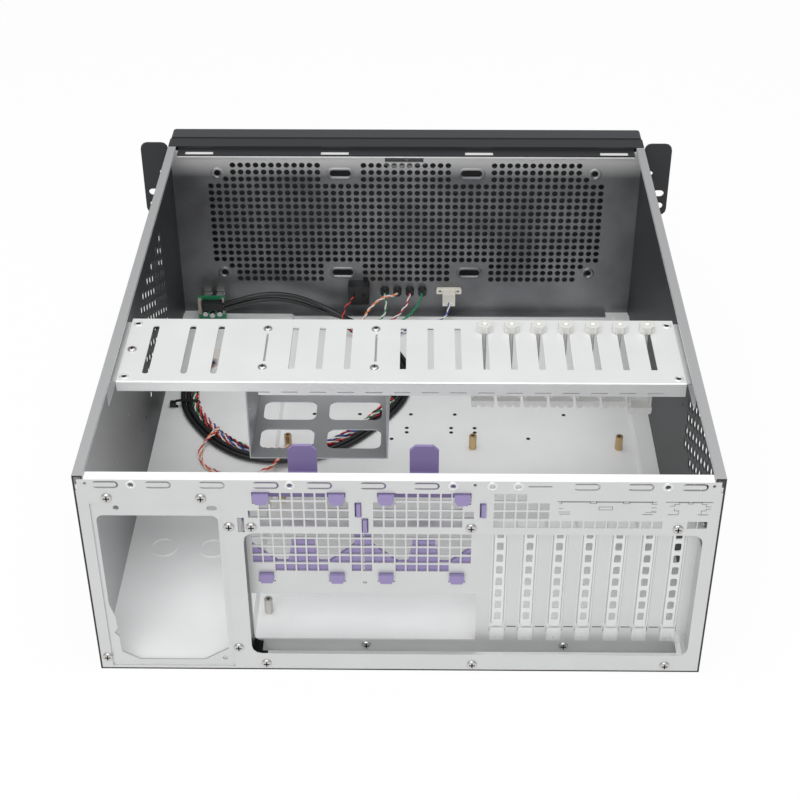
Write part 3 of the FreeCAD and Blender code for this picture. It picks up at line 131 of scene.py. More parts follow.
white_paper, tree = material("white_paper")
seen = add(tree, "ShaderNodeLightPath")
matt = add(tree, "ShaderNodeBsdfDiffuse", Color=linear("#F4F4F4"))
glow = add(tree, "ShaderNodeEmission", Color=(1, 1, 1, 1), Strength=1.0)
mirrored = add(tree, "ShaderNodeMath", [(seen.outputs["Is Glossy Ray"], 0),
                                        (seen.outputs["Is Transmission Ray"], 1)], operation="MAXIMUM")
direct = add(tree, "ShaderNodeMath", [(seen.outputs["Is Camera Ray"], 0), (0.94, 1)], operation="MULTIPLY")
facing = add(tree, "ShaderNodeMath", [(mirrored.outputs[0], 0), (direct.outputs[0], 1)], operation="MAXIMUM")
beside_case = zone(tree, beyond_x=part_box("chassis_tub")[1].x - 4 * MM)
past_case = zone(tree, beyond_y=rear_y - 30 * MM)
clear = add(tree, "ShaderNodeMath", [(beside_case, 0), (past_case, 1)], operation="MAXIMUM")
lit = add(tree, "ShaderNodeMath", [(facing.outputs[0], 0), (clear.outputs[0], 1)], operation="MULTIPLY")
mixed = add(tree, "ShaderNodeMixShader", [(lit.outputs[0], 0), (matt.outputs[0], 1), (glow.outputs[0], 2)])
add(tree, "ShaderNodeOutputMaterial", [(mixed.outputs[0], "Surface")])

floor_mesh = bpy.data.meshes.new("floor")
floor_mesh.from_pydata([(-6, -6, 0), (6, -6, 0), (6, 6, 0), (-6, 6, 0)], [], [(0, 1, 2, 3)])
floor_mesh.materials.append(white_paper)
floor = bpy.data.objects.new("floor", floor_mesh)
bpy.context.scene.collection.objects.link(floor)
floor.location.z = cad_box[0].z - 0.3 * MM

world = bpy.data.worlds.new("studio")
bpy.context.scene.world = world
world.use_nodes = True
tree = world.node_tree
tree.nodes.clear()
seen = add(tree, "ShaderNodeLightPath")
room = add(tree, "ShaderNodeBackground", Color=(1, 1, 1, 1), Strength=0.45)
paper = add(tree, "ShaderNodeBackground", Color=(1, 1, 1, 1), Strength=1.0)
mixed = add(tree, "ShaderNodeMixShader", [(seen.outputs["Is Camera Ray"], 0), (room.outputs[0], 1),
                                          (paper.outputs[0], 2)])
add(tree, "ShaderNodeOutputWorld", [(mixed.outputs[0], "Surface")])


def lamp(name, place, target, size, watts):
    """A large soft area lamp aimed at a point."""
    data = bpy.data.lights.new(name, "AREA")
    data.shape = "RECTANGLE"
    data.size, data.size_y = size
    data.energy = watts
    made = bpy.data.objects.new(name, data)
    bpy.context.scene.collection.objects.link(made)
    made.location = place
    made.rotation_euler = (Vector(target) - Vector(place)).to_track_quat("-Z", "Y").to_euler()


lamp("ceiling_softbox", (0.0, 0.15, 1.9), (0.0, 0.0, 0.0), (1.8, 1.4), 19)
lamp("rear_softbox", (0.3, 1.7, 1.35), (0.0, 0.1, 0.1), (1.6, 1.0), 20)
bpy.context.scene.view_settings.view_transform = "Standard"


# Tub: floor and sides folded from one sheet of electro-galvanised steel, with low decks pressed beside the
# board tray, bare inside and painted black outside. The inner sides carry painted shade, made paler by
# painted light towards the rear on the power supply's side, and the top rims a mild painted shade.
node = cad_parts


def zinc(name, hex_code, along="Y", roughness=0.44, metallic=0.75):
    """Electro-galvanised sheet: pale satin metal, uneven in tone, with rolling lines drawn coarse to show."""
    made, tree = material(name)
    line = 0.6
    stretch = [1 / (line * MM)] * 3
    stretch["XYZ".index(along)] = 1 / (line * 40 * MM)
    where = add(tree, "ShaderNodeTexCoord")
    shaped = add(tree, "ShaderNodeMapping", [(where.outputs["Object"], "Vector"), (stretch, "Scale")])
    lines = add(tree, "ShaderNodeTexNoise", [(shaped.outputs[0], "Vector")], Scale=1.0, Detail=4.0)
    cloud = add(tree, "ShaderNodeTexNoise", [(where.outputs["Object"], "Vector")],
                Scale=1 / (45 * MM), Detail=5.0)
    base = linear(hex_code)[:3]
    tint = add(tree, "ShaderNodeMix", [(cloud.outputs["Fac"], "Factor"), ([c * 0.93 for c in base] + [1], 6),
                                       ([min(c * 1.05, 1) for c in base] + [1], 7)], data_type="RGBA")
    dull = add(tree, "ShaderNodeMapRange", [(lines.outputs["Fac"], "Value"), (roughness - 0.05, "To Min"),
                                            (roughness + 0.09, "To Max")])
    bump = add(tree, "ShaderNodeBump", [(lines.outputs["Fac"], "Height")], Strength=0.05, Distance=0.05 * MM)
    metal = add(tree, "ShaderNodeBsdfPrincipled", [(tint.outputs[2], "Base Color"),
                                                   (dull.outputs[0], "Roughness"),
                                                   (bump.outputs[0], "Normal")], Metallic=metallic)
    add(tree, "ShaderNodeOutputMaterial", [(metal.outputs[0], "Surface")])
    return made


def patch(finish, mask, hex_code, roughness, metallic):
    """Shows another finish on a material where a mask is 1, and returns its shader node."""
    tree = finish.node_tree
    surface = tree.nodes["Material Output"].inputs["Surface"]
    shown = add(tree, "ShaderNodeBsdfPrincipled", Roughness=roughness, Metallic=metallic,
                **{"Base Color": linear(hex_code)})
    both = add(tree, "ShaderNodeMixShader", [(mask, 0), (surface.links[0].from_socket, 1),
                                             (shown.outputs[0], 2)])
    tree.links.new(both.outputs[0], surface)
    return shown


def dress(names, finish):
    """Gives CAD nodes one material."""
    for name in names:
        slots = node[name].material_slots
        if not slots:
            node[name].data.materials.append(finish)
        for slot in slots:
            slot.link = "DATA"
            slot.material = finish


tub_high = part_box("chassis_tub")[1]
tub_sheet = zinc("coated_tub_sheet", "#F6F7F7", metallic=0.2)
tree = tub_sheet.node_tree
shade_tone = "#4A4C4E"
# Painted shade on the inner sides, turned paler by painted light towards the rear on the supply side.
inner_sides = zone(tree, beyond_x=tub_high.x - 1.25 * MM, below_z=tub_high.z - 0.1 * MM)
shade = patch(tub_sheet, inner_sides, shade_tone, 0.5, 0.7)
where = add(tree, "ShaderNodeTexCoord")
spot = add(tree, "ShaderNodeSeparateXYZ", [(where.outputs["Object"], 0)])
to_rear = add(tree, "ShaderNodeMapRange", [(spot.outputs["Y"], "Value"), (rear_y - 260 * MM, "From Min"),
                                           (rear_y - 40 * MM, "From Max")])
paler = add(tree, "ShaderNodeMath", [(to_rear.outputs[0], 0), (zone(tree, above_x=0.0), 1)],
            operation="MULTIPLY")
wall_tone = add(tree, "ShaderNodeMix", [(paler.outputs[0], "Factor"), (linear(shade_tone), 6),
                                        (linear("#C9CACB"), 7)], data_type="RGBA")
tree.links.new(wall_tone.outputs[2], shade.inputs["Base Color"])
# A mild painted shade on the top rims.
patch(tub_sheet, zone(tree, above_z=tub_high.z - 1.3 * MM), "#C4C5C6", 0.45, 0.7)
outside = zone(tree, beyond_x=tub_high.x - 0.05 * MM)
for face in (zone(tree, below_z=0.05 * MM), zone(tree, above_y=rear_y - 0.05 * MM)):
    outside = add(tree, "ShaderNodeMath", [(outside, 0), (face, 1)], operation="MAXIMUM").outputs[0]
patch(tub_sheet, outside, "#1B1C1E", 0.5, 0.0)
dress(["chassis_tub"], tub_sheet)


# Tapped floor holes: drawn and threaded in the floor sheet for boards of other sizes. Each is drawn as a
# short bore of painted shade capped just above the floor, so it reads as a dark dot on the pale floor.
def place(x, depth, z):
    """A point given by X, the depth in front of the rear face and Z, in millimetres."""
    return Vector((x * MM, rear_y - depth * MM, z * MM))


def circle(radius, sides):
    """Points evenly round a circle."""
    angles = [2 * math.pi * k / sides for k in range(sides)]
    return [(radius * math.cos(a), radius * math.sin(a)) for a in angles]


def skin(mesh, loops, smooth=True):
    """Adds the band between each closed loop of points and the next, and returns the loops as vertices."""
    rings = [[mesh.verts.new(point) for point in loop] for loop in loops]
    for first, second in zip(rings, rings[1:]):
        for k in range(len(first)):
            after = (k + 1) % len(first)
            mesh.faces.new((first[k], first[after], second[after], second[k])).smooth = smooth
    return rings


def finished(mesh, name, *finishes):
    """Makes an object of a mesh, with its materials."""
    bmesh.ops.recalc_face_normals(mesh, faces=mesh.faces)
    data = bpy.data.meshes.new(name)
    mesh.to_mesh(data)
    mesh.free()
    for finish in finishes:
        data.materials.append(finish)
    made = bpy.data.objects.new(name, data)
    bpy.context.scene.collection.objects.link(made)
    return made


def shadow(name, hex_code):
    """The shade seen in a narrow hole or cut in sheet metal, slightly uneven."""
    made, tree = material(name)
    where = add(tree, "ShaderNodeTexCoord")
    uneven = add(tree, "ShaderNodeTexNoise", [(where.outputs["Object"], "Vector")],
                 Scale=1 / (4 * MM), Detail=2.0)
    dull = add(tree, "ShaderNodeMapRange", [(uneven.outputs["Fac"], "Value"), (0.5, "To Min"),
                                            (0.8, "To Max")])
    matt = add(tree, "ShaderNodeBsdfPrincipled", [(dull.outputs[0], "Roughness")],
               **{"Base Color": linear(hex_code)})
    add(tree, "ShaderNodeOutputMaterial", [(matt.outputs[0], "Surface")])
    return made


thread_shade = shadow("thread_shade", "#1E1E1F")
spare_holes = [(x, depth) for x in (-41, -2.5, -61.4) for depth in (292.0, 285.5)]
spare_holes += [(-107.2, 277.0), (10.5, 276.0)]
spare_holes += [(x, 312.0) for x in (79.0, 38.9, -5.9, -44.5, -140.1)]
mesh = bmesh.new()
for x, depth in spare_holes:
    bore, mouth = skin(mesh, [[place(x + u, depth + v, z) for u, v in circle(1.75, 16)] for z in (0.3, 1.26)],
                       smooth=False)
    mesh.faces.new(bore[::-1])
    mesh.faces.new(mouth)
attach(finished(mesh, "tapped_holes", thread_shade), "case")


# Standoffs: hexagonal posts turned from brass and screwed into the floor, satin with the usual golden tone.
# The one beside the window's supply-side edge is nickel-plated.
brass, tree = material("turned_brass")
nickel_post = zone(tree, above_y=rear_y - 70 * MM, above_x=80 * MM)
tone = add(tree, "ShaderNodeMix", [(nickel_post, "Factor"), (linear("#C2A67C"), 6), (linear("#C6C4BF"), 7)],
           data_type="RGBA")
turned = add(tree, "ShaderNodeBsdfPrincipled", [(tone.outputs[2], "Base Color")],
             Metallic=0.9, Roughness=0.34)
add(tree, "ShaderNodeOutputMaterial", [(turned.outputs[0], "Surface")])
dress(["board_standoffs"], brass)


# Rear panel: zinc-coated sheet between the sides, with the drawn window for boards, and behind it the slot
# panel and the power supply's bracket, all screwed to the tub. The top lip carries a painted highlight,
# and the window's supply-side wall a painted dark reflection.
rear_zinc = zinc("rear_zinc", "#D2D3D3", "X", metallic=0.65)
tree = rear_zinc.node_tree
# A painted highlight on the top lip.
lip_highlight = zone(tree, above_z=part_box("rear_panel")[1].z - 1.0 * MM)
patch(rear_zinc, lip_highlight, "#FAFAFA", 0.4, 0.2)
# A painted dark reflection on the window's supply-side wall.
window_wall_shade = zone(tree, above_x=94 * MM, below_x=105.05 * MM, below_y=rear_y - 0.3 * MM, below_z=132 * MM)
patch(rear_zinc, window_wall_shade, "#242526", 0.3, 0.9)
dress(["rear_panel"], rear_zinc)
dress(["slot_panel", "psu_bracket"], zinc("recessed_zinc", "#D2D3D3", "X", metallic=0.65))


# Slot covers: seven blank brackets pressed from zinc-coated sheet. Each has a raised ridge with eight rounded
# holes, a tab screwed on the shelf and a stepped tongue that hooks into the panel below.
def rounded_loop(x0, x1, z0, z1, radius, steps=4):
    """The outline of a rectangle with round corners."""
    loop = []
    for turn, (x, z) in enumerate(((x1, z1), (x0, z1), (x0, z0), (x1, z0))):
        middle = (x - radius * (1 if x == x1 else -1), z - radius * (1 if z == z1 else -1))
        loop += [(middle[0] + radius * math.cos(a), middle[1] + radius * math.sin(a))
                 for a in [math.pi / 2 * (turn + k / steps) for k in range(steps + 1)]]
    return loop


def slot_loop(x, z, length, radius, sides=12):
    """The outline of a hole: a circle, or a slot with round ends if it has a length."""
    loop = []
    for k in range(sides):
        angle = 2 * math.pi * (k + 0.5) / sides
        shift = math.copysign(max(length / 2 - radius, 0.0), math.cos(angle)) if length else 0.0
        loop.append((x + shift + radius * math.cos(angle), z + radius * math.sin(angle)))
    return loop


def box_loop(x0, x1, z0, z1):
    """The outline of a rectangle."""
    return [(x0, z0), (x1, z0), (x1, z1), (x0, z1)]


def pierced_sheet(mesh, outline, holes, spot):
    """Adds a flat sheet with convex holes to a mesh; spot(u, v, side) gives a point on one of its faces."""
    loops = [outline] + holes
    flat = [Vector(point) for loop in loops for point in loop]
    owner = [k for k, loop in enumerate(loops) for _ in loop]
    edges = []
    for loop in loops:
        first = len(edges)
        edges += [(first + k, first + (k + 1) % len(loop)) for k in range(len(loop))]
    points, _, faces, origins, _, _ = delaunay_2d_cdt(flat, edges, [], 0, 1e-6)
    sides = [[mesh.verts.new(spot(point.x, point.y, side)) for point in points] for side in (0, 1)]
    found = {source: k for k, sources in enumerate(origins) for source in sources}
    for face in faces:
        owners = {owner[origins[k][0]] for k in face}
        if len(owners) > 1 or 0 in owners:
            for verts in sides:
                mesh.faces.new([verts[k] for k in face])
    for a, b in edges:
        a, b = found[a], found[b]
        mesh.faces.new((sides[0][a], sides[0][b], sides[1][b], sides[1][a]))


def bar_of(mesh, low, high):
    """Adds a box between two corners to a mesh."""
    corners = ((0, 0, 0), (1, 0, 0), (1, 1, 0), (0, 1, 0), (0, 0, 1), (1, 0, 1), (1, 1, 1), (0, 1, 1))
    verts = [mesh.verts.new([(low, high)[n][k] for k, n in enumerate(corner)]) for corner in corners]
    for face in ((0, 3, 2, 1), (4, 5, 6, 7), (0, 1, 5, 4), (1, 2, 6, 5), (2, 3, 7, 6), (3, 0, 4, 7)):
        mesh.faces.new([verts[k] for k in face])


bare_zinc = zinc("electro_zinc", "#E2E3E3", metallic=0.6)
cover_sheet = 0.9
ridge_rise = 1.4
hole_half = 3.5
tongue_half = 5.1
panel_depth = 13.0
for number in range(1, 8):
    name = "slot_cover_%d" % number
    low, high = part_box(name)
    middle = (low.x + high.x) / 2 / MM
    edge = (high.x - low.x) / 2 / MM
    foot = low.z / MM
    shelf = high.z / MM
    near = (rear_y - low.y) / MM - cover_sheet
    mesh = bmesh.new()
    ridge = rounded_loop(middle - 3.85, middle + 3.85, 32, shelf - 3.5, 2.9)
    skirt = rounded_loop(middle - 4.7, middle + 4.7, 31.2, shelf - 2.7, 3.6)
    openings = [rounded_loop(middle - 2.3, middle + 2.3, z - hole_half, z + hole_half, 1.4)
                for z in [42.1 + 10.75 * k for k in range(8)] if z + hole_half < shelf - 4.5]
    pierced_sheet(mesh, ridge, openings,
                  lambda u, v, side: place(u, near - ridge_rise + cover_sheet * side, v))
    pierced_sheet(mesh, box_loop(middle - edge, middle + edge, 30.5, shelf - cover_sheet), [skirt],
                  lambda u, v, side: place(u, near + cover_sheet * side, v))
    for side in (0.0, cover_sheet):
        skin(mesh, [[place(u, near + rise + side, v) for u, v in loop]
                    for loop, rise in ((ridge, -ridge_rise), (skirt, 0.0))])
    bar_of(mesh, place(middle - edge, near + cover_sheet, shelf - cover_sheet),
           place(middle + edge, 3.2, shelf))
    bar_of(mesh, place(middle - tongue_half, near - 0.02, 27.9),
           place(middle + tongue_half, panel_depth + 0.02, 30.8))
    pierced_sheet(mesh, rounded_loop(middle - tongue_half, middle + tongue_half, foot + 2.5, 31.0, 0.8, 2),
                  [slot_loop(middle, foot + 5.5, 0, 1.0)],
                  lambda u, v, side: place(u, panel_depth - cover_sheet * side, v))
    for u in (middle - 3.4, middle + 2.6):
        bar_of(mesh, place(u, 12.08, foot + 3.5), place(u + 0.8, 11.6, 30.0))
    cover = finished(mesh, "pressed_" + name, bare_zinc)
    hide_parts(name)
    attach(cover, "case")


# Rear knock-outs: narrow slits punched round the ports in the panel and the latches under the slot covers.
# They are drawn as thin inlays in the shade seen through them, almost flush with the sheet.
def slits(name, lines, depth, finish, width=0.5):
    """Narrow cuts as thin inlays in a sheet, each from one corner point to the next."""
    mesh = bmesh.new()
    for line in lines:
        for (x0, z0), (x1, z1) in zip(line, line[1:]):
            bar_of(mesh, place(max(x0, x1) + width / 2, depth + 0.5, min(z0, z1) - width / 2),
                   place(min(x0, x1) - width / 2, depth - 0.06, max(z0, z1) + width / 2))
    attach(finished(mesh, name, finish), "case")


wide_port = [(-106.5, 155), (-108, 155), (-108, 156.4), (-127, 156.4), (-127, 155.4), (-131, 155.4),
             (-131, 156.4), (-149, 156.4), (-149, 155.4), (-153, 155.4), (-153, 156.4), (-168, 156.4),
             (-168, 155), (-171, 155)]
wide_port_ties = [[(-106.5, 151), (-109, 151)], [(-168, 152), (-171, 152)], [(-168, 149), (-171, 149)],
                  [(-106.5, 148), (-114, 148)], [(-164, 148), (-171, 148)]]
small_window = [(-133, 150), (-133, 152.5), (-142, 152.5), (-142, 150), (-133, 150)]
serial_port = [(-180, 153.5), (-183, 153.5), (-183, 155), (-186, 155), (-186, 156.4), (-192, 156.4),
               (-192, 155.4), (-195, 155.4), (-195, 156.4), (-201, 156.4), (-201, 155), (-204, 155),
               (-204, 153), (-207, 153)]
serial_port_ties = [[(-183, 151), (-183, 149.5), (-186, 149.5), (-186, 147)],
                    [(-201, 147), (-201, 149.5), (-204, 149.5), (-204, 151), (-207, 151)]]
slits("port_knock_outs", [wide_port, *wide_port_ties, small_window, serial_port, *serial_port_ties], 0,
      shadow("shaded_slit", "#8B8C8D"))
latch_slits = [[(x - 3, 31.5), (x + 3, 31.5)] for x in [-79.7 - 20.32 * k for k in range(6)]]
slits("cover_latch_slits", latch_slits, panel_depth, shadow("dark_slit", "#3C3D3F"), 0.8)


# Thread collars: rolled rims of the sheet round threaded holes in the rear panel's top strip and in the
# corners of the hold-down bar, whose bores are closed by discs of painted shade. They are of the bare
# zinc coat of their sheets.
def collar(mesh, spot):
    """Adds a rolled rim to a mesh; spot(u, v, rise) gives a point round the hole and off the sheet."""
    profile = ((1.9, -1.0), (1.9, 0.4), (2.6, 0.5), (3.3, 0.25), (3.7, -0.1))
    skin(mesh, [[spot(u, v, rise) for u, v in circle(radius, 24)] for radius, rise in profile])


bar_low, bar_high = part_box("card_bar")
bar_top = bar_high.z / MM
mesh = bmesh.new()
for x in (176.7, 71.8, -36.1, -177.2, -61.9, -79.0):
    collar(mesh, lambda u, v, rise: place(x + u, -rise, 169.2 + v))
for x in (200.2, -200.2):
    for depth in (124.5, 195.0):
        collar(mesh, lambda u, v, rise: place(x + u, depth + v, bar_top + rise))
        # Each bar hole's bore is drawn as a disc of painted shade.
        bore = [mesh.verts.new(place(x + u, depth + v, bar_top + 0.06)) for u, v in circle(1.9, 24)]
        mesh.faces.new(bore).material_index = 1
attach(finished(mesh, "thread_collars", bare_zinc, thread_shade), "case")


# Front wall: a folded zinc-coated sheet with a field of round vent holes in three blocks, and fan screw
# holes pressed into dishes with raised rims. Its tone is painted shade, blotched as the coat is, and it
# turns to a painted highlight near its top edge.
def pressed_rim(mesh, x, z, length, radius, depth):
    """Adds a pressed dish with a raised rim round a hole."""
    loops = []
    for out, rise in ((0.0, -0.6), (1.5, 0.9), (2.1, 0.9), (3.2, 0.0)):
        full = length + 2 * out if length else 0
        loops.append([place(u, depth - rise, v) for u, v in slot_loop(x, z, full, radius + out, 24)])
    skin(mesh, loops)


wall_low, wall_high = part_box("front_wall")
half = wall_high.x / MM
top = wall_high.z / MM
wall_sheet = 1.2
wall_depth = (rear_y - wall_low.y) / MM - wall_sheet
column_pitch = 7.02
row_pitch = 7.06
vent_radius = 2.7
rim_width = 2.1
lamp_x = (20.3, 8.2, -3.6, -15.6)
lamp_z = 26
short_rows = [*range(3, 15), *range(20, 32), *range(37, 49)]
longer_rows = [*range(2, 15), *range(20, 32), *range(37, 50)]
blocks = {row: short_rows for row in (0, 1, 16, 17)}
blocks.update({row: longer_rows for row in (2, 15)})
holes = [slot_loop(-179 + column_pitch * column, 158 - row_pitch * row, 0, vent_radius)
         for row in range(18) for column in blocks.get(row, range(52))]
dishes = [(side * 172.5, z, 0, 2.8) for side in (1, -1) for z in (149.75, 44.75)]
dishes += [(side * 60.0, z, 19.0, 3.0) for side in (1, -1) for z in (149.75, 44.75)]
holes += [slot_loop(x, z, length + 2 * rim_width if length else 0, radius + rim_width, 24)
          for x, z, length, radius in dishes]
holes += [slot_loop(x, lamp_z, 0, 3.2) for x in lamp_x]
port_openings = [box_loop(x - 3.6, x + 3.6, 9.5, 23.5) for x in (178, 190)]
switch_opening = box_loop(38.7, 51.3, 20.7, 33.3)
latch_opening = box_loop(-16, 19, 161.4, 169.3)
holes += [*port_openings, switch_opening, latch_opening]
mesh = bmesh.new()
pierced_sheet(mesh, box_loop(-half, half, wall_low.z / MM, top), holes,
              lambda u, v, side: place(u, wall_depth + wall_sheet * side, v))
for x, z, length, radius in dishes:
    pressed_rim(mesh, x, z, length, radius, wall_depth)
mid_sheet = wall_depth + wall_sheet / 2
bar_of(mesh, place(8 - half, mid_sheet, top - wall_sheet), place(half - 8, wall_depth - 10, top))
bar_of(mesh, place(22 - half, mid_sheet, wall_sheet), place(half - 22, wall_depth - 9, 2 * wall_sheet))

# Painted shade over the whole wall, blotched as the coat is.
shaded_zinc = zinc("shaded_zinc", "#7A7B7D", "X", 0.42, 0.8)
tree = shaded_zinc.node_tree
where = add(tree, "ShaderNodeTexCoord")
blotch = add(tree, "ShaderNodeTexNoise", [(where.outputs["Object"], "Vector")],
             Scale=1 / (70 * MM), Detail=8.0)
contrast = add(tree, "ShaderNodeMapRange", [(blotch.outputs["Fac"], "Value"), (0.35, "From Min"),
                                            (0.65, "From Max")])
tone = add(tree, "ShaderNodeMix", [(contrast.outputs[0], "Factor"), (linear("#66676A"), 6),
                                   (linear("#88898B"), 7)], data_type="RGBA")
tree.links.new(tone.outputs[2], tree.nodes["Principled BSDF"].inputs["Base Color"])
spot = add(tree, "ShaderNodeSeparateXYZ", [(where.outputs["Object"], 0)])
# A painted highlight near the top edge.
top_highlight = add(tree, "ShaderNodeMapRange", [(spot.outputs["Z"], "Value"), (146 * MM, "From Min"),
                                            (171 * MM, "From Max")])
patch(shaded_zinc, top_highlight.outputs[0], "#F0F0F0", 0.45, 0.2)
front_wall = finished(mesh, "pierced_front_wall", shaded_zinc)
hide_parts("front_wall")
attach(front_wall, "case")
# The latch plate in its recess carries painted shade.
dress(["latch_plate"], zinc("shaded_latch_zinc", "#5E5F61", "X", metallic=0.85))


# Front frame, door and rack ears: folded steel with a fine textured powder coat, baked on before they are
# screwed together. The door's coat is the paler one.
def powder(name, hex_code):
    """Powder coat: an even colour with a fine orange-peel texture and a soft sheen."""
    made, tree = material(name)
    where = add(tree, "ShaderNodeTexCoord")
    grit = add(tree, "ShaderNodeTexNoise", [(where.outputs["Object"], "Vector")],
               Scale=1 / (0.9 * MM), Detail=4.0)
    bump = add(tree, "ShaderNodeBump", [(grit.outputs["Fac"], "Height")], Strength=0.25, Distance=0.15 * MM)
    coat = add(tree, "ShaderNodeBsdfPrincipled", [(bump.outputs[0], "Normal")], Roughness=0.48,
               **{"Base Color": linear(hex_code)})
    add(tree, "ShaderNodeOutputMaterial", [(coat.outputs[0], "Surface")])
    return made


dress(["front_frame", "rack_ear_left", "rack_ear_right"], powder("black_powder_coat", "#26272A"))
dress(["front_door"], powder("charcoal_powder_coat", "#393A3D"))


# Moulded parts: purple ABS fan holders clipped in the rear panel, clamps, sensor holder and lead connectors
# of nylon, and the switch, button and lamp holders of black ABS, all injection-moulded.
def moulded(name, hex_code, roughness=0.4):
    """Injection-moulded plastic: even colour, fine spark-eroded texture and a soft sheen."""
    made, tree = material(name)
    where = add(tree, "ShaderNodeTexCoord")
    grain = add(tree, "ShaderNodeTexNoise", [(where.outputs["Object"], "Vector")],
                Scale=1 / (0.5 * MM), Detail=2.0)
    bump = add(tree, "ShaderNodeBump", [(grain.outputs["Fac"], "Height")], Strength=0.1, Distance=0.08 * MM)
    plastic = add(tree, "ShaderNodeBsdfPrincipled", [(bump.outputs[0], "Normal")], Roughness=roughness,
                  **{"Base Color": linear(hex_code), "IOR": 1.5})
    add(tree, "ShaderNodeOutputMaterial", [(plastic.outputs[0], "Surface")])
    return made


dress(["fan_holder_1", "fan_holder_2"], moulded("purple_abs", "#8D80AC"))
# The knobs' off-white tone holds some painted shade; the feet's white is lifted by painted light against the
# shade under the bar.
dress(["clamp_knob_%d" % k for k in range(1, 8)], moulded("knob_nylon", "#D2D2CE"))
dress(["clamp_foot_%d" % k for k in range(1, 8)], moulded("white_nylon", "#F4F4F2"))
dress(["thermal_sensor", "lead_connectors"], moulded("natural_nylon", "#E3DFD6"))
dress(["power_switch", "power_button", "led_holders"], moulded("black_abs", "#1A1B1C"))


# Hold-down bar, its ledges and the drive cradle: zinc-coated sheet, slotted and folded, screwed across the
# case. The bar is the palest; its hollow underside is toned as the shade that shows through its slots.
bar_zinc = zinc("bar_zinc", "#F0F1F1", "X", metallic=0.5)
hollow = zone(bar_zinc.node_tree, below_z=bar_high.z - 1.0 * MM, above_y=bar_low.y + 1.0 * MM,
              below_y=bar_high.y - 1.0 * MM)
patch(bar_zinc, hollow, "#444547", 0.5, 0.8)
dress(["card_bar"], bar_zinc)
dress(["bar_ledge_left", "bar_ledge_right"], bare_zinc)
dress(["drive_cradle"], zinc("grey_zinc", "#B9BBBE"))


# Screws, hinge pins, lock and port shells: steel, turned or headed and nickel-plated. The rear and bar
# screws have pan heads with cross recesses, drawn as dark bars of painted shade.
def plated(name, hex_code, roughness=0.28):
    """Bright turned or plated metal with slight unevenness."""
    made, tree = material(name)
    where = add(tree, "ShaderNodeTexCoord")
    spots = add(tree, "ShaderNodeTexNoise", [(where.outputs["Object"], "Vector")],
                Scale=1 / (1.2 * MM), Detail=3.0)
    dull = add(tree, "ShaderNodeMapRange", [(spots.outputs["Fac"], "Value"), (roughness - 0.08, "To Min"),
                                            (roughness + 0.12, "To Max")])
    metal = add(tree, "ShaderNodeBsdfPrincipled", [(dull.outputs[0], "Roughness")], Metallic=1.0,
                **{"Base Color": linear(hex_code)})
    add(tree, "ShaderNodeOutputMaterial", [(metal.outputs[0], "Surface")])
    return made


nickel = plated("nickel_plate", "#C9C8C5")
dress(["door_hinge_pins", "door_lock", "usb_ports"], nickel)
# Painted shade for the cross recesses in the screw heads.
recess = plated("recess_shadow", "#2A2A2B", 0.5)


def screw_heads(name, centres, radius, aim):
    """Pan-head screws with cross recesses as one mesh, in place of a node, facing along aim."""
    profile = ((0.36, -3.0), (0.36, 0.0), (1.0, 0.0), (1.0, 0.5), (0.9, 1.0), (0.66, 1.35), (0.3, 1.5))
    mesh = bmesh.new()
    turn = Vector((0, 0, 1)).rotation_difference(aim).to_matrix()
    for centre in centres:
        rings = skin(mesh, [[centre + turn @ Vector((u, v, rise * MM)) for u, v in circle(radius * reach, 20)]
                            for reach, rise in profile])
        mesh.faces.new(rings[0][::-1])
        mesh.faces.new(rings[-1])
        for wide, tall in ((0.56, 0.13), (0.13, 0.56)):
            start = len(mesh.faces)
            recess_top = Vector((0, 0, 1.56 * MM))
            bar_of(mesh, Vector((-wide, -tall, 0)) * radius, Vector((wide, tall, 0)) * radius + recess_top)
            mesh.faces.ensure_lookup_table()
            fresh = mesh.faces[start:]
            for face in fresh:
                face.material_index = 1
            for vert in {vert for face in fresh for vert in face.verts}:
                vert.co = centre + turn @ vert.co
    made = finished(mesh, "heads_" + name, nickel, recess)
    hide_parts(name)
    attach(made, "case")


bay_screws = [(193.8, 0, 158.0), (131.2, 0, 158.0), (114.1, 0, 133.5), (114.3, 0, 21.8), (209.0, 0, 11.7)]
tab_screws = [(x, 0, 133.5) for x in (99.1, -48.6, -187.1)]
sill_screws = [(x, 0, 6.3) for x in (95.2, -52.0, -189.8)]
panel_screws = [(x, panel_depth, 12.4) for x in (24.0, -118.0)]
rear_spots = bay_screws + tab_screws + sill_screws + panel_screws
screw_heads("rear_screws", [place(*spot) for spot in rear_spots], 3.6 * MM, Vector((0, 1, 0)))
bar_spots = [(x, depth, bar_top) for x in (101.2, 19.5) for depth in (137.0, 188.5)]
bar_spots.append((199.6, 159.8, bar_top))
screw_heads("bar_screws", [place(*spot) for spot in bar_spots], 3.4 * MM, Vector((0, 0, 1)))


# Front port board: glass-fibre laminate under green solder mask, with small aluminium capacitors, tan nylon
# guards at its ends and the plug of the leads, moulded in black PVC.
mask, tree = material("green_solder_mask")
where = add(tree, "ShaderNodeTexCoord")
tracks = add(tree, "ShaderNodeTexBrick", [(where.outputs["Object"], "Vector"), (linear("#1C6B46"), "Color1"),
                                          (linear("#1E7A50"), "Color2"), (linear("#2B8A5E"), "Mortar")],
             Scale=1 / (6 * MM))
laminate = add(tree, "ShaderNodeBsdfPrincipled", [(tracks.outputs["Color"], "Base Color")],
               Roughness=0.3, IOR=1.55)
add(tree, "ShaderNodeOutputMaterial", [(laminate.outputs[0], "Surface")])
dress(["usb_board"], mask)

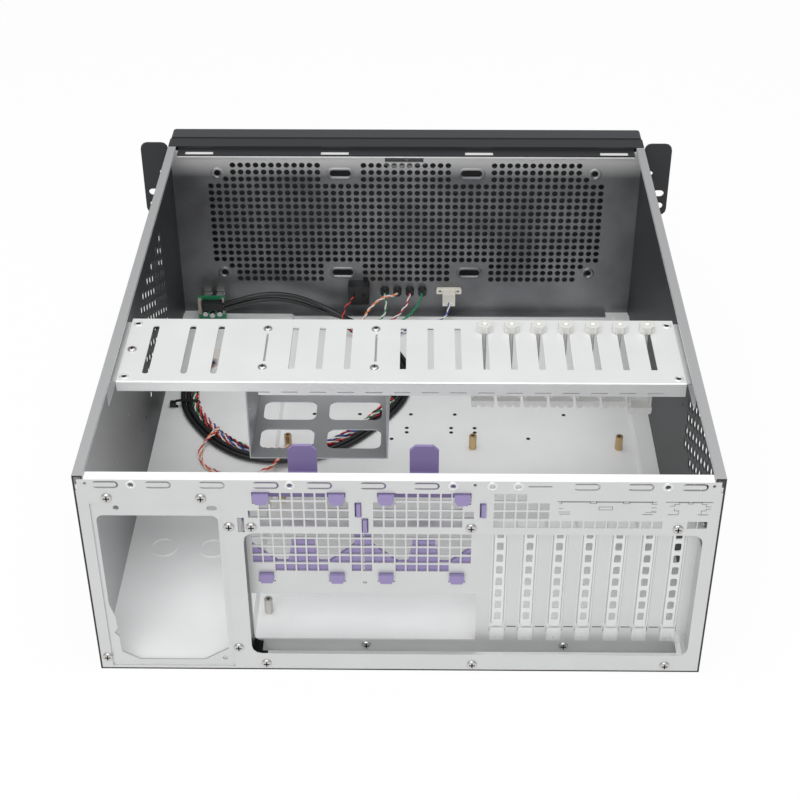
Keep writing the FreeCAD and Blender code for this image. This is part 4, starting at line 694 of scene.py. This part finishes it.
board_back = (rear_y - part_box("usb_board")[0].y) / MM
can_radius = 2.7
can_top = board_back - 8.5
can_profile = ((can_radius, board_back), (can_radius, can_top + 0.4), (can_radius * 0.85, can_top))
mesh = bmesh.new()
for x, z in ((190.5, 13.5), (184.0, 12.0), (177.0, 13.5)):
    rings = skin(mesh, [[place(x + u, depth, z + v) for u, v in circle(radius, 20)]
                        for radius, depth in can_profile])
    mesh.faces.new(rings[-1])
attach(finished(mesh, "board_capacitors", plated("aluminium_can", "#C8C9CA", 0.35)), "case")
mesh = bmesh.new()
for x0, x1, z0, z1 in ((194.0, 197.0, 12.5, 27.5), (172.5, 173.6, 13.0, 28.0)):
    bar_of(mesh, place(x1, board_back, z0), place(x0, board_back - 6.5, z1))
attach(finished(mesh, "board_headers", moulded("tan_nylon", "#B3A79C")), "case")
mesh = bmesh.new()
plug_low, plug_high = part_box("usb_plug")
bar_of(mesh, plug_low + Vector((0, 0, 3.2 * MM)), plug_high)
plug = finished(mesh, "lead_plug", moulded("black_plug_pvc", "#17181A", 0.5))
bevel = plug.modifiers.new("moulded_edges", "BEVEL")
bevel.width = 0.8 * MM
bevel.segments = 3
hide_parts("usb_plug")
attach(plug, "case")


# USB leads: two round black PVC cables from the plug behind the front wall, down to the floor and round the
# loop, side by side. They are extruded, lie loose and end in connectors.
def curve(name, points, diameter=0.0):
    """A smooth curve with these control points, round if it has a diameter."""
    data = bpy.data.curves.new(name, "CURVE")
    data.dimensions = "3D"
    spline = data.splines.new("NURBS")
    spline.points.add(len(points) - 1)
    for point, at in zip(spline.points, points):
        point.co = (*at, 1)
    spline.order_u = 3
    spline.use_endpoint_u = True
    spline.resolution_u = 12
    data.bevel_depth = diameter / 2
    data.bevel_resolution = 4
    data.use_fill_caps = True
    made = bpy.data.objects.new(name, data)
    bpy.context.scene.collection.objects.link(made)
    return made


def beside(points, gap, lift=0.0):
    """The same route moved sideways by a gap, positive to the right when seen from above."""
    moved = []
    for k, (x, depth, z) in enumerate(points):
        before = points[max(k - 1, 0)]
        after = points[min(k + 1, len(points) - 1)]
        along_x = after[0] - before[0]
        along_depth = after[1] - before[1]
        size = math.hypot(along_x, along_depth)
        moved.append((x - gap * along_depth / size, depth + gap * along_x / size, z + lift))
    return moved


def pvc(name, hex_code, roughness=0.42):
    """Soft PVC insulation: smooth extruded skin with a dull sheen and slight unevenness."""
    made, tree = material(name)
    where = add(tree, "ShaderNodeTexCoord")
    noise = add(tree, "ShaderNodeTexNoise", [(where.outputs["Object"], "Vector")],
                Scale=1 / (2.5 * MM), Detail=3.0)
    bump = add(tree, "ShaderNodeBump", [(noise.outputs["Fac"], "Height")], Strength=0.12, Distance=0.1 * MM)
    dull = add(tree, "ShaderNodeMapRange", [(noise.outputs["Fac"], "Value"), (roughness - 0.06, "To Min"),
                                            (roughness + 0.08, "To Max")])
    insulation = add(tree, "ShaderNodeBsdfPrincipled", [(bump.outputs[0], "Normal"),
                                                        (dull.outputs[0], "Roughness")],
                     **{"Base Color": linear(hex_code), "IOR": 1.53})
    add(tree, "ShaderNodeOutputMaterial", [(insulation.outputs[0], "Surface")])
    return made


black_pvc = pvc("black_pvc", "#18191B", 0.4)
usb_diameter = 4.4
plug_x = plug_low.x / MM
on_tray = 1.2 + usb_diameter / 2 + 0.25
on_deck = on_tray + 3.0
floor_loop = [(38.0, 441.0, on_tray), (17.0, 417.0, on_tray), (2.0, 386.0, on_tray), (-1.0, 358.0, on_tray),
              (4.0, 330.0, on_tray), (22.0, 299.0, on_tray), (46.0, 270.0, on_tray),
              (71.0, 250.0, on_tray + 1.5), (99.0, 240.0, on_deck + 1.0), (130.0, 243.0, on_deck + 0.4),
              (155.0, 260.0, on_deck), (173.0, 283.0, on_deck), (188.0, 309.0, on_deck),
              (193.0, 336.0, on_deck), (192.0, 363.0, on_deck), (182.0, 386.0, on_deck)]
along_front = [(plug_x - 0.7, 457.5, 23.3), (154.0, 458.5, 29.5), (129.0, 462.5, 33.0), (103.0, 465.5, 28.0),
               (80.0, 465.0, 17.5), (59.0, 458.0, 9.0)]
side_gap = 4.8
under = [(x, depth, z - side_gap - 0.45 * k) for k, (x, depth, z) in enumerate(along_front[:-1])]
joined = beside(along_front[-1:] + floor_loop, -side_gap)
joined[0] = (joined[0][0], joined[0][1], joined[0][2] - 3.0)
usb_routes = {"usb_lead_1": (along_front + floor_loop, 0.603), "usb_lead_2": (under + joined, 0.625)}
for name, (route, length) in usb_routes.items():
    points = [place(*point) for point in route]
    lead = curve("cable_" + name, points, usb_diameter * MM)
    lead.data.materials.append(black_pvc)
    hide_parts(name)
    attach(lead, "case")


# Control leads: thin stranded wires in coloured PVC, twisted in pairs, from each lamp, the switch and the
# sensor to a common twisted bundle that lies on the inner side of the loop.
def centreline(name, points):
    """The points of the smooth curve through a route, evenly close."""
    guide = curve(name + "_guide", points)
    line = bpy.data.meshes.new_from_object(guide)
    found = [v.co.copy() for v in line.vertices]
    bpy.data.objects.remove(guide)
    bpy.data.meshes.remove(line)
    return found


def twisted(name, points, strand, pairs, pitch, lay=110 * MM):
    """Twisted pairs of thin wires, wound loosely round a centreline if there are several, as one mesh."""
    path = centreline(name, points)
    even = [path[0]]
    for a, b in zip(path, path[1:]):
        steps = max(1, round((b - a).length / (strand * 0.9)))
        even += [a.lerp(b, (k + 1) / steps) for k in range(steps)]
    spread = 0.85 * strand / math.sin(math.pi / len(pairs)) if len(pairs) > 1 else 0.0
    side = Vector((0, 0, 1))
    frames = []
    travelled = 0.0
    for k, at in enumerate(even):
        ahead = (even[min(k + 1, len(even) - 1)] - even[max(k - 1, 0)]).normalized()
        side = (side - ahead * side.dot(ahead)).normalized()
        travelled += (at - even[k - 1]).length if k else 0.0
        frames.append((at, side.copy(), ahead.cross(side), travelled))
    mesh = bmesh.new()
    colours = []
    for index, colour in enumerate([colour for pair in pairs for colour in pair]):
        if colour not in colours:
            colours.append(colour)
        which, member = divmod(index, 2)
        loops = []
        for at, up, across, travel in frames:
            wide = 2 * math.pi * (travel / lay + which / len(pairs))
            tight = 2 * math.pi * (travel / pitch + member / 2 + 0.37 * which)
            centre = (at + spread * (math.cos(wide) * up + math.sin(wide) * across)
                      + strand / 2 * (math.cos(tight) * up + math.sin(tight) * across))
            loops.append([centre + u * up + v * across for u, v in circle(strand / 2, 8)])
        start = len(mesh.faces)
        rings = skin(mesh, loops)
        mesh.faces.new(rings[0][::-1])
        mesh.faces.new(rings[-1])
        mesh.faces.ensure_lookup_table()
        for face in mesh.faces[start:]:
            face.material_index = colours.index(colour)
    return finished(mesh, name, *colours), path


coral_pvc = pvc("coral_pvc", "#CE3B38")
crimson_pvc = pvc("crimson_pvc", "#A82244")
green_pvc = pvc("green_pvc", "#23825A")
blue_pvc = pvc("blue_pvc", "#3C50A0")
orange_pvc = pvc("orange_pvc", "#EB8246")
white_pvc = pvc("white_pvc", "#E6E4DE")

bundle_diameter = 6.4
lift = (bundle_diameter - usb_diameter) / 2 + 0.2
bundle_points = [place(*point) for point in beside(floor_loop, 6.0, lift)]
bundle_pairs = ((coral_pvc, white_pvc), (blue_pvc, white_pvc), (crimson_pvc, black_pvc),
                (green_pvc, white_pvc), (coral_pvc, black_pvc))
bundle, bundle_path = twisted("control_bundle", bundle_points, 1.5 * MM, bundle_pairs, 13 * MM)
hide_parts("wire_bundle")
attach(bundle, "case")

behind = 474.3
wires = {
    "wire_switch": (((49.5, 463.8, 27.4), (57.0, 453.0, 25.0), (60.0, 444.0, 17.0), (56.0, 437.5, 9.0),
                     (47.0, 436.0, 5.4)), [(coral_pvc, black_pvc)], 0.046),
    "wire_led_1": (((lamp_x[0], behind, lamp_z), (20.5, 465.0, 27.5), (18.0, 457.0, 21.0),
                    (22.0, 450.5, 13.5), (31.0, 445.0, 9.8), (40.5, 440.5, 8.0)),
                   [(green_pvc, white_pvc)], 0.051),
    "wire_led_2": (((lamp_x[1], behind, lamp_z), (9.5, 464.5, 29.5), (21.0, 460.5, 31.0),
                    (33.0, 456.0, 23.0), (40.0, 449.0, 14.0), (44.0, 441.0, 9.2)),
                   [(orange_pvc, white_pvc)], 0.060),
    "wire_led_3": (((lamp_x[2], behind, lamp_z), (-3.0, 465.5, 24.0), (3.0, 460.0, 15.5), (12.0, 454.0, 9.5),
                    (23.0, 447.0, 7.4), (35.0, 439.5, 8.0)), [(crimson_pvc, white_pvc)], 0.060),
    "wire_led_4": (((lamp_x[3], behind, lamp_z), (-14.5, 465.0, 24.5), (-8.0, 458.5, 17.0),
                    (2.0, 451.5, 10.5), (13.0, 444.0, 7.2), (24.0, 437.0, 7.4), (35.0, 431.0, 9.2)),
                   [(green_pvc, green_pvc)], 0.074),
    "wire_sensor": (((-41.0, 471.8, 17.0), (-41.5, 465.5, 13.0), (-36.0, 460.5, 7.0), (-24.0, 456.0, 3.5),
                     (-10.0, 449.5, 3.0), (2.0, 441.0, 4.0), (13.0, 432.0, 6.8), (25.0, 425.0, 9.8)),
                    [(blue_pvc, white_pvc)], 0.089),
    "wire_loop": (((158.0, 275.0, 12.6), (168.5, 262.0, 10.6), (173.0, 247.0, 6.6), (167.0, 230.0, 5.6),
                   (150.0, 219.0, 5.6), (130.0, 217.0, 5.6), (112.0, 224.0, 7.0), (103.0, 236.0, 11.6),
                   (97.0, 249.0, 13.6)), [(orange_pvc, white_pvc), (coral_pvc, white_pvc)], 0.138),
}
for name, (route, pairs, length) in wires.items():
    points = [place(*point) for point in route]
    strand = (1.35 if len(pairs) == 1 else 1.15) * MM
    pair, path = twisted("pair_" + name, points, strand, pairs, 11 * MM, 45 * MM)
    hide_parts(name)
    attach(pair, "case")


# Cable tie: a band of black nylon, moulded flat and drawn round the leads at the outside of the loop, with
# its square head towards the side wall.
def flattened(along, reach):
    """A coordinate on a squared-off round, from the same coordinate on a circle of radius 1."""
    return reach * math.copysign(abs(along) ** 0.6, along)


mesh = bmesh.new()
middle = place(193.0, 318.0, on_deck + 0.6)
band = [(flattened(u, 10.5), flattened(v, 3.6)) for u, v in circle(1.0, 32)]
loops = [[middle + Vector(((u * grow - 1.5) * MM, y * MM, v * grow * MM)) for u, v in band]
         for y, grow in ((-1.6, 1.0), (-1.6, 1.12), (1.6, 1.12), (1.6, 1.0))]
rings = skin(mesh, loops, smooth=False)
for k in range(len(band)):
    after = (k + 1) % len(band)
    mesh.faces.new((rings[-1][k], rings[-1][after], rings[0][after], rings[0][k]))
bar_of(mesh, middle + Vector((8.5, -2.4, -2.0)) * MM, middle + Vector((13.5, 2.4, 2.0)) * MM)
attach(finished(mesh, "cable_tie", moulded("black_nylon", "#151617")), "case")
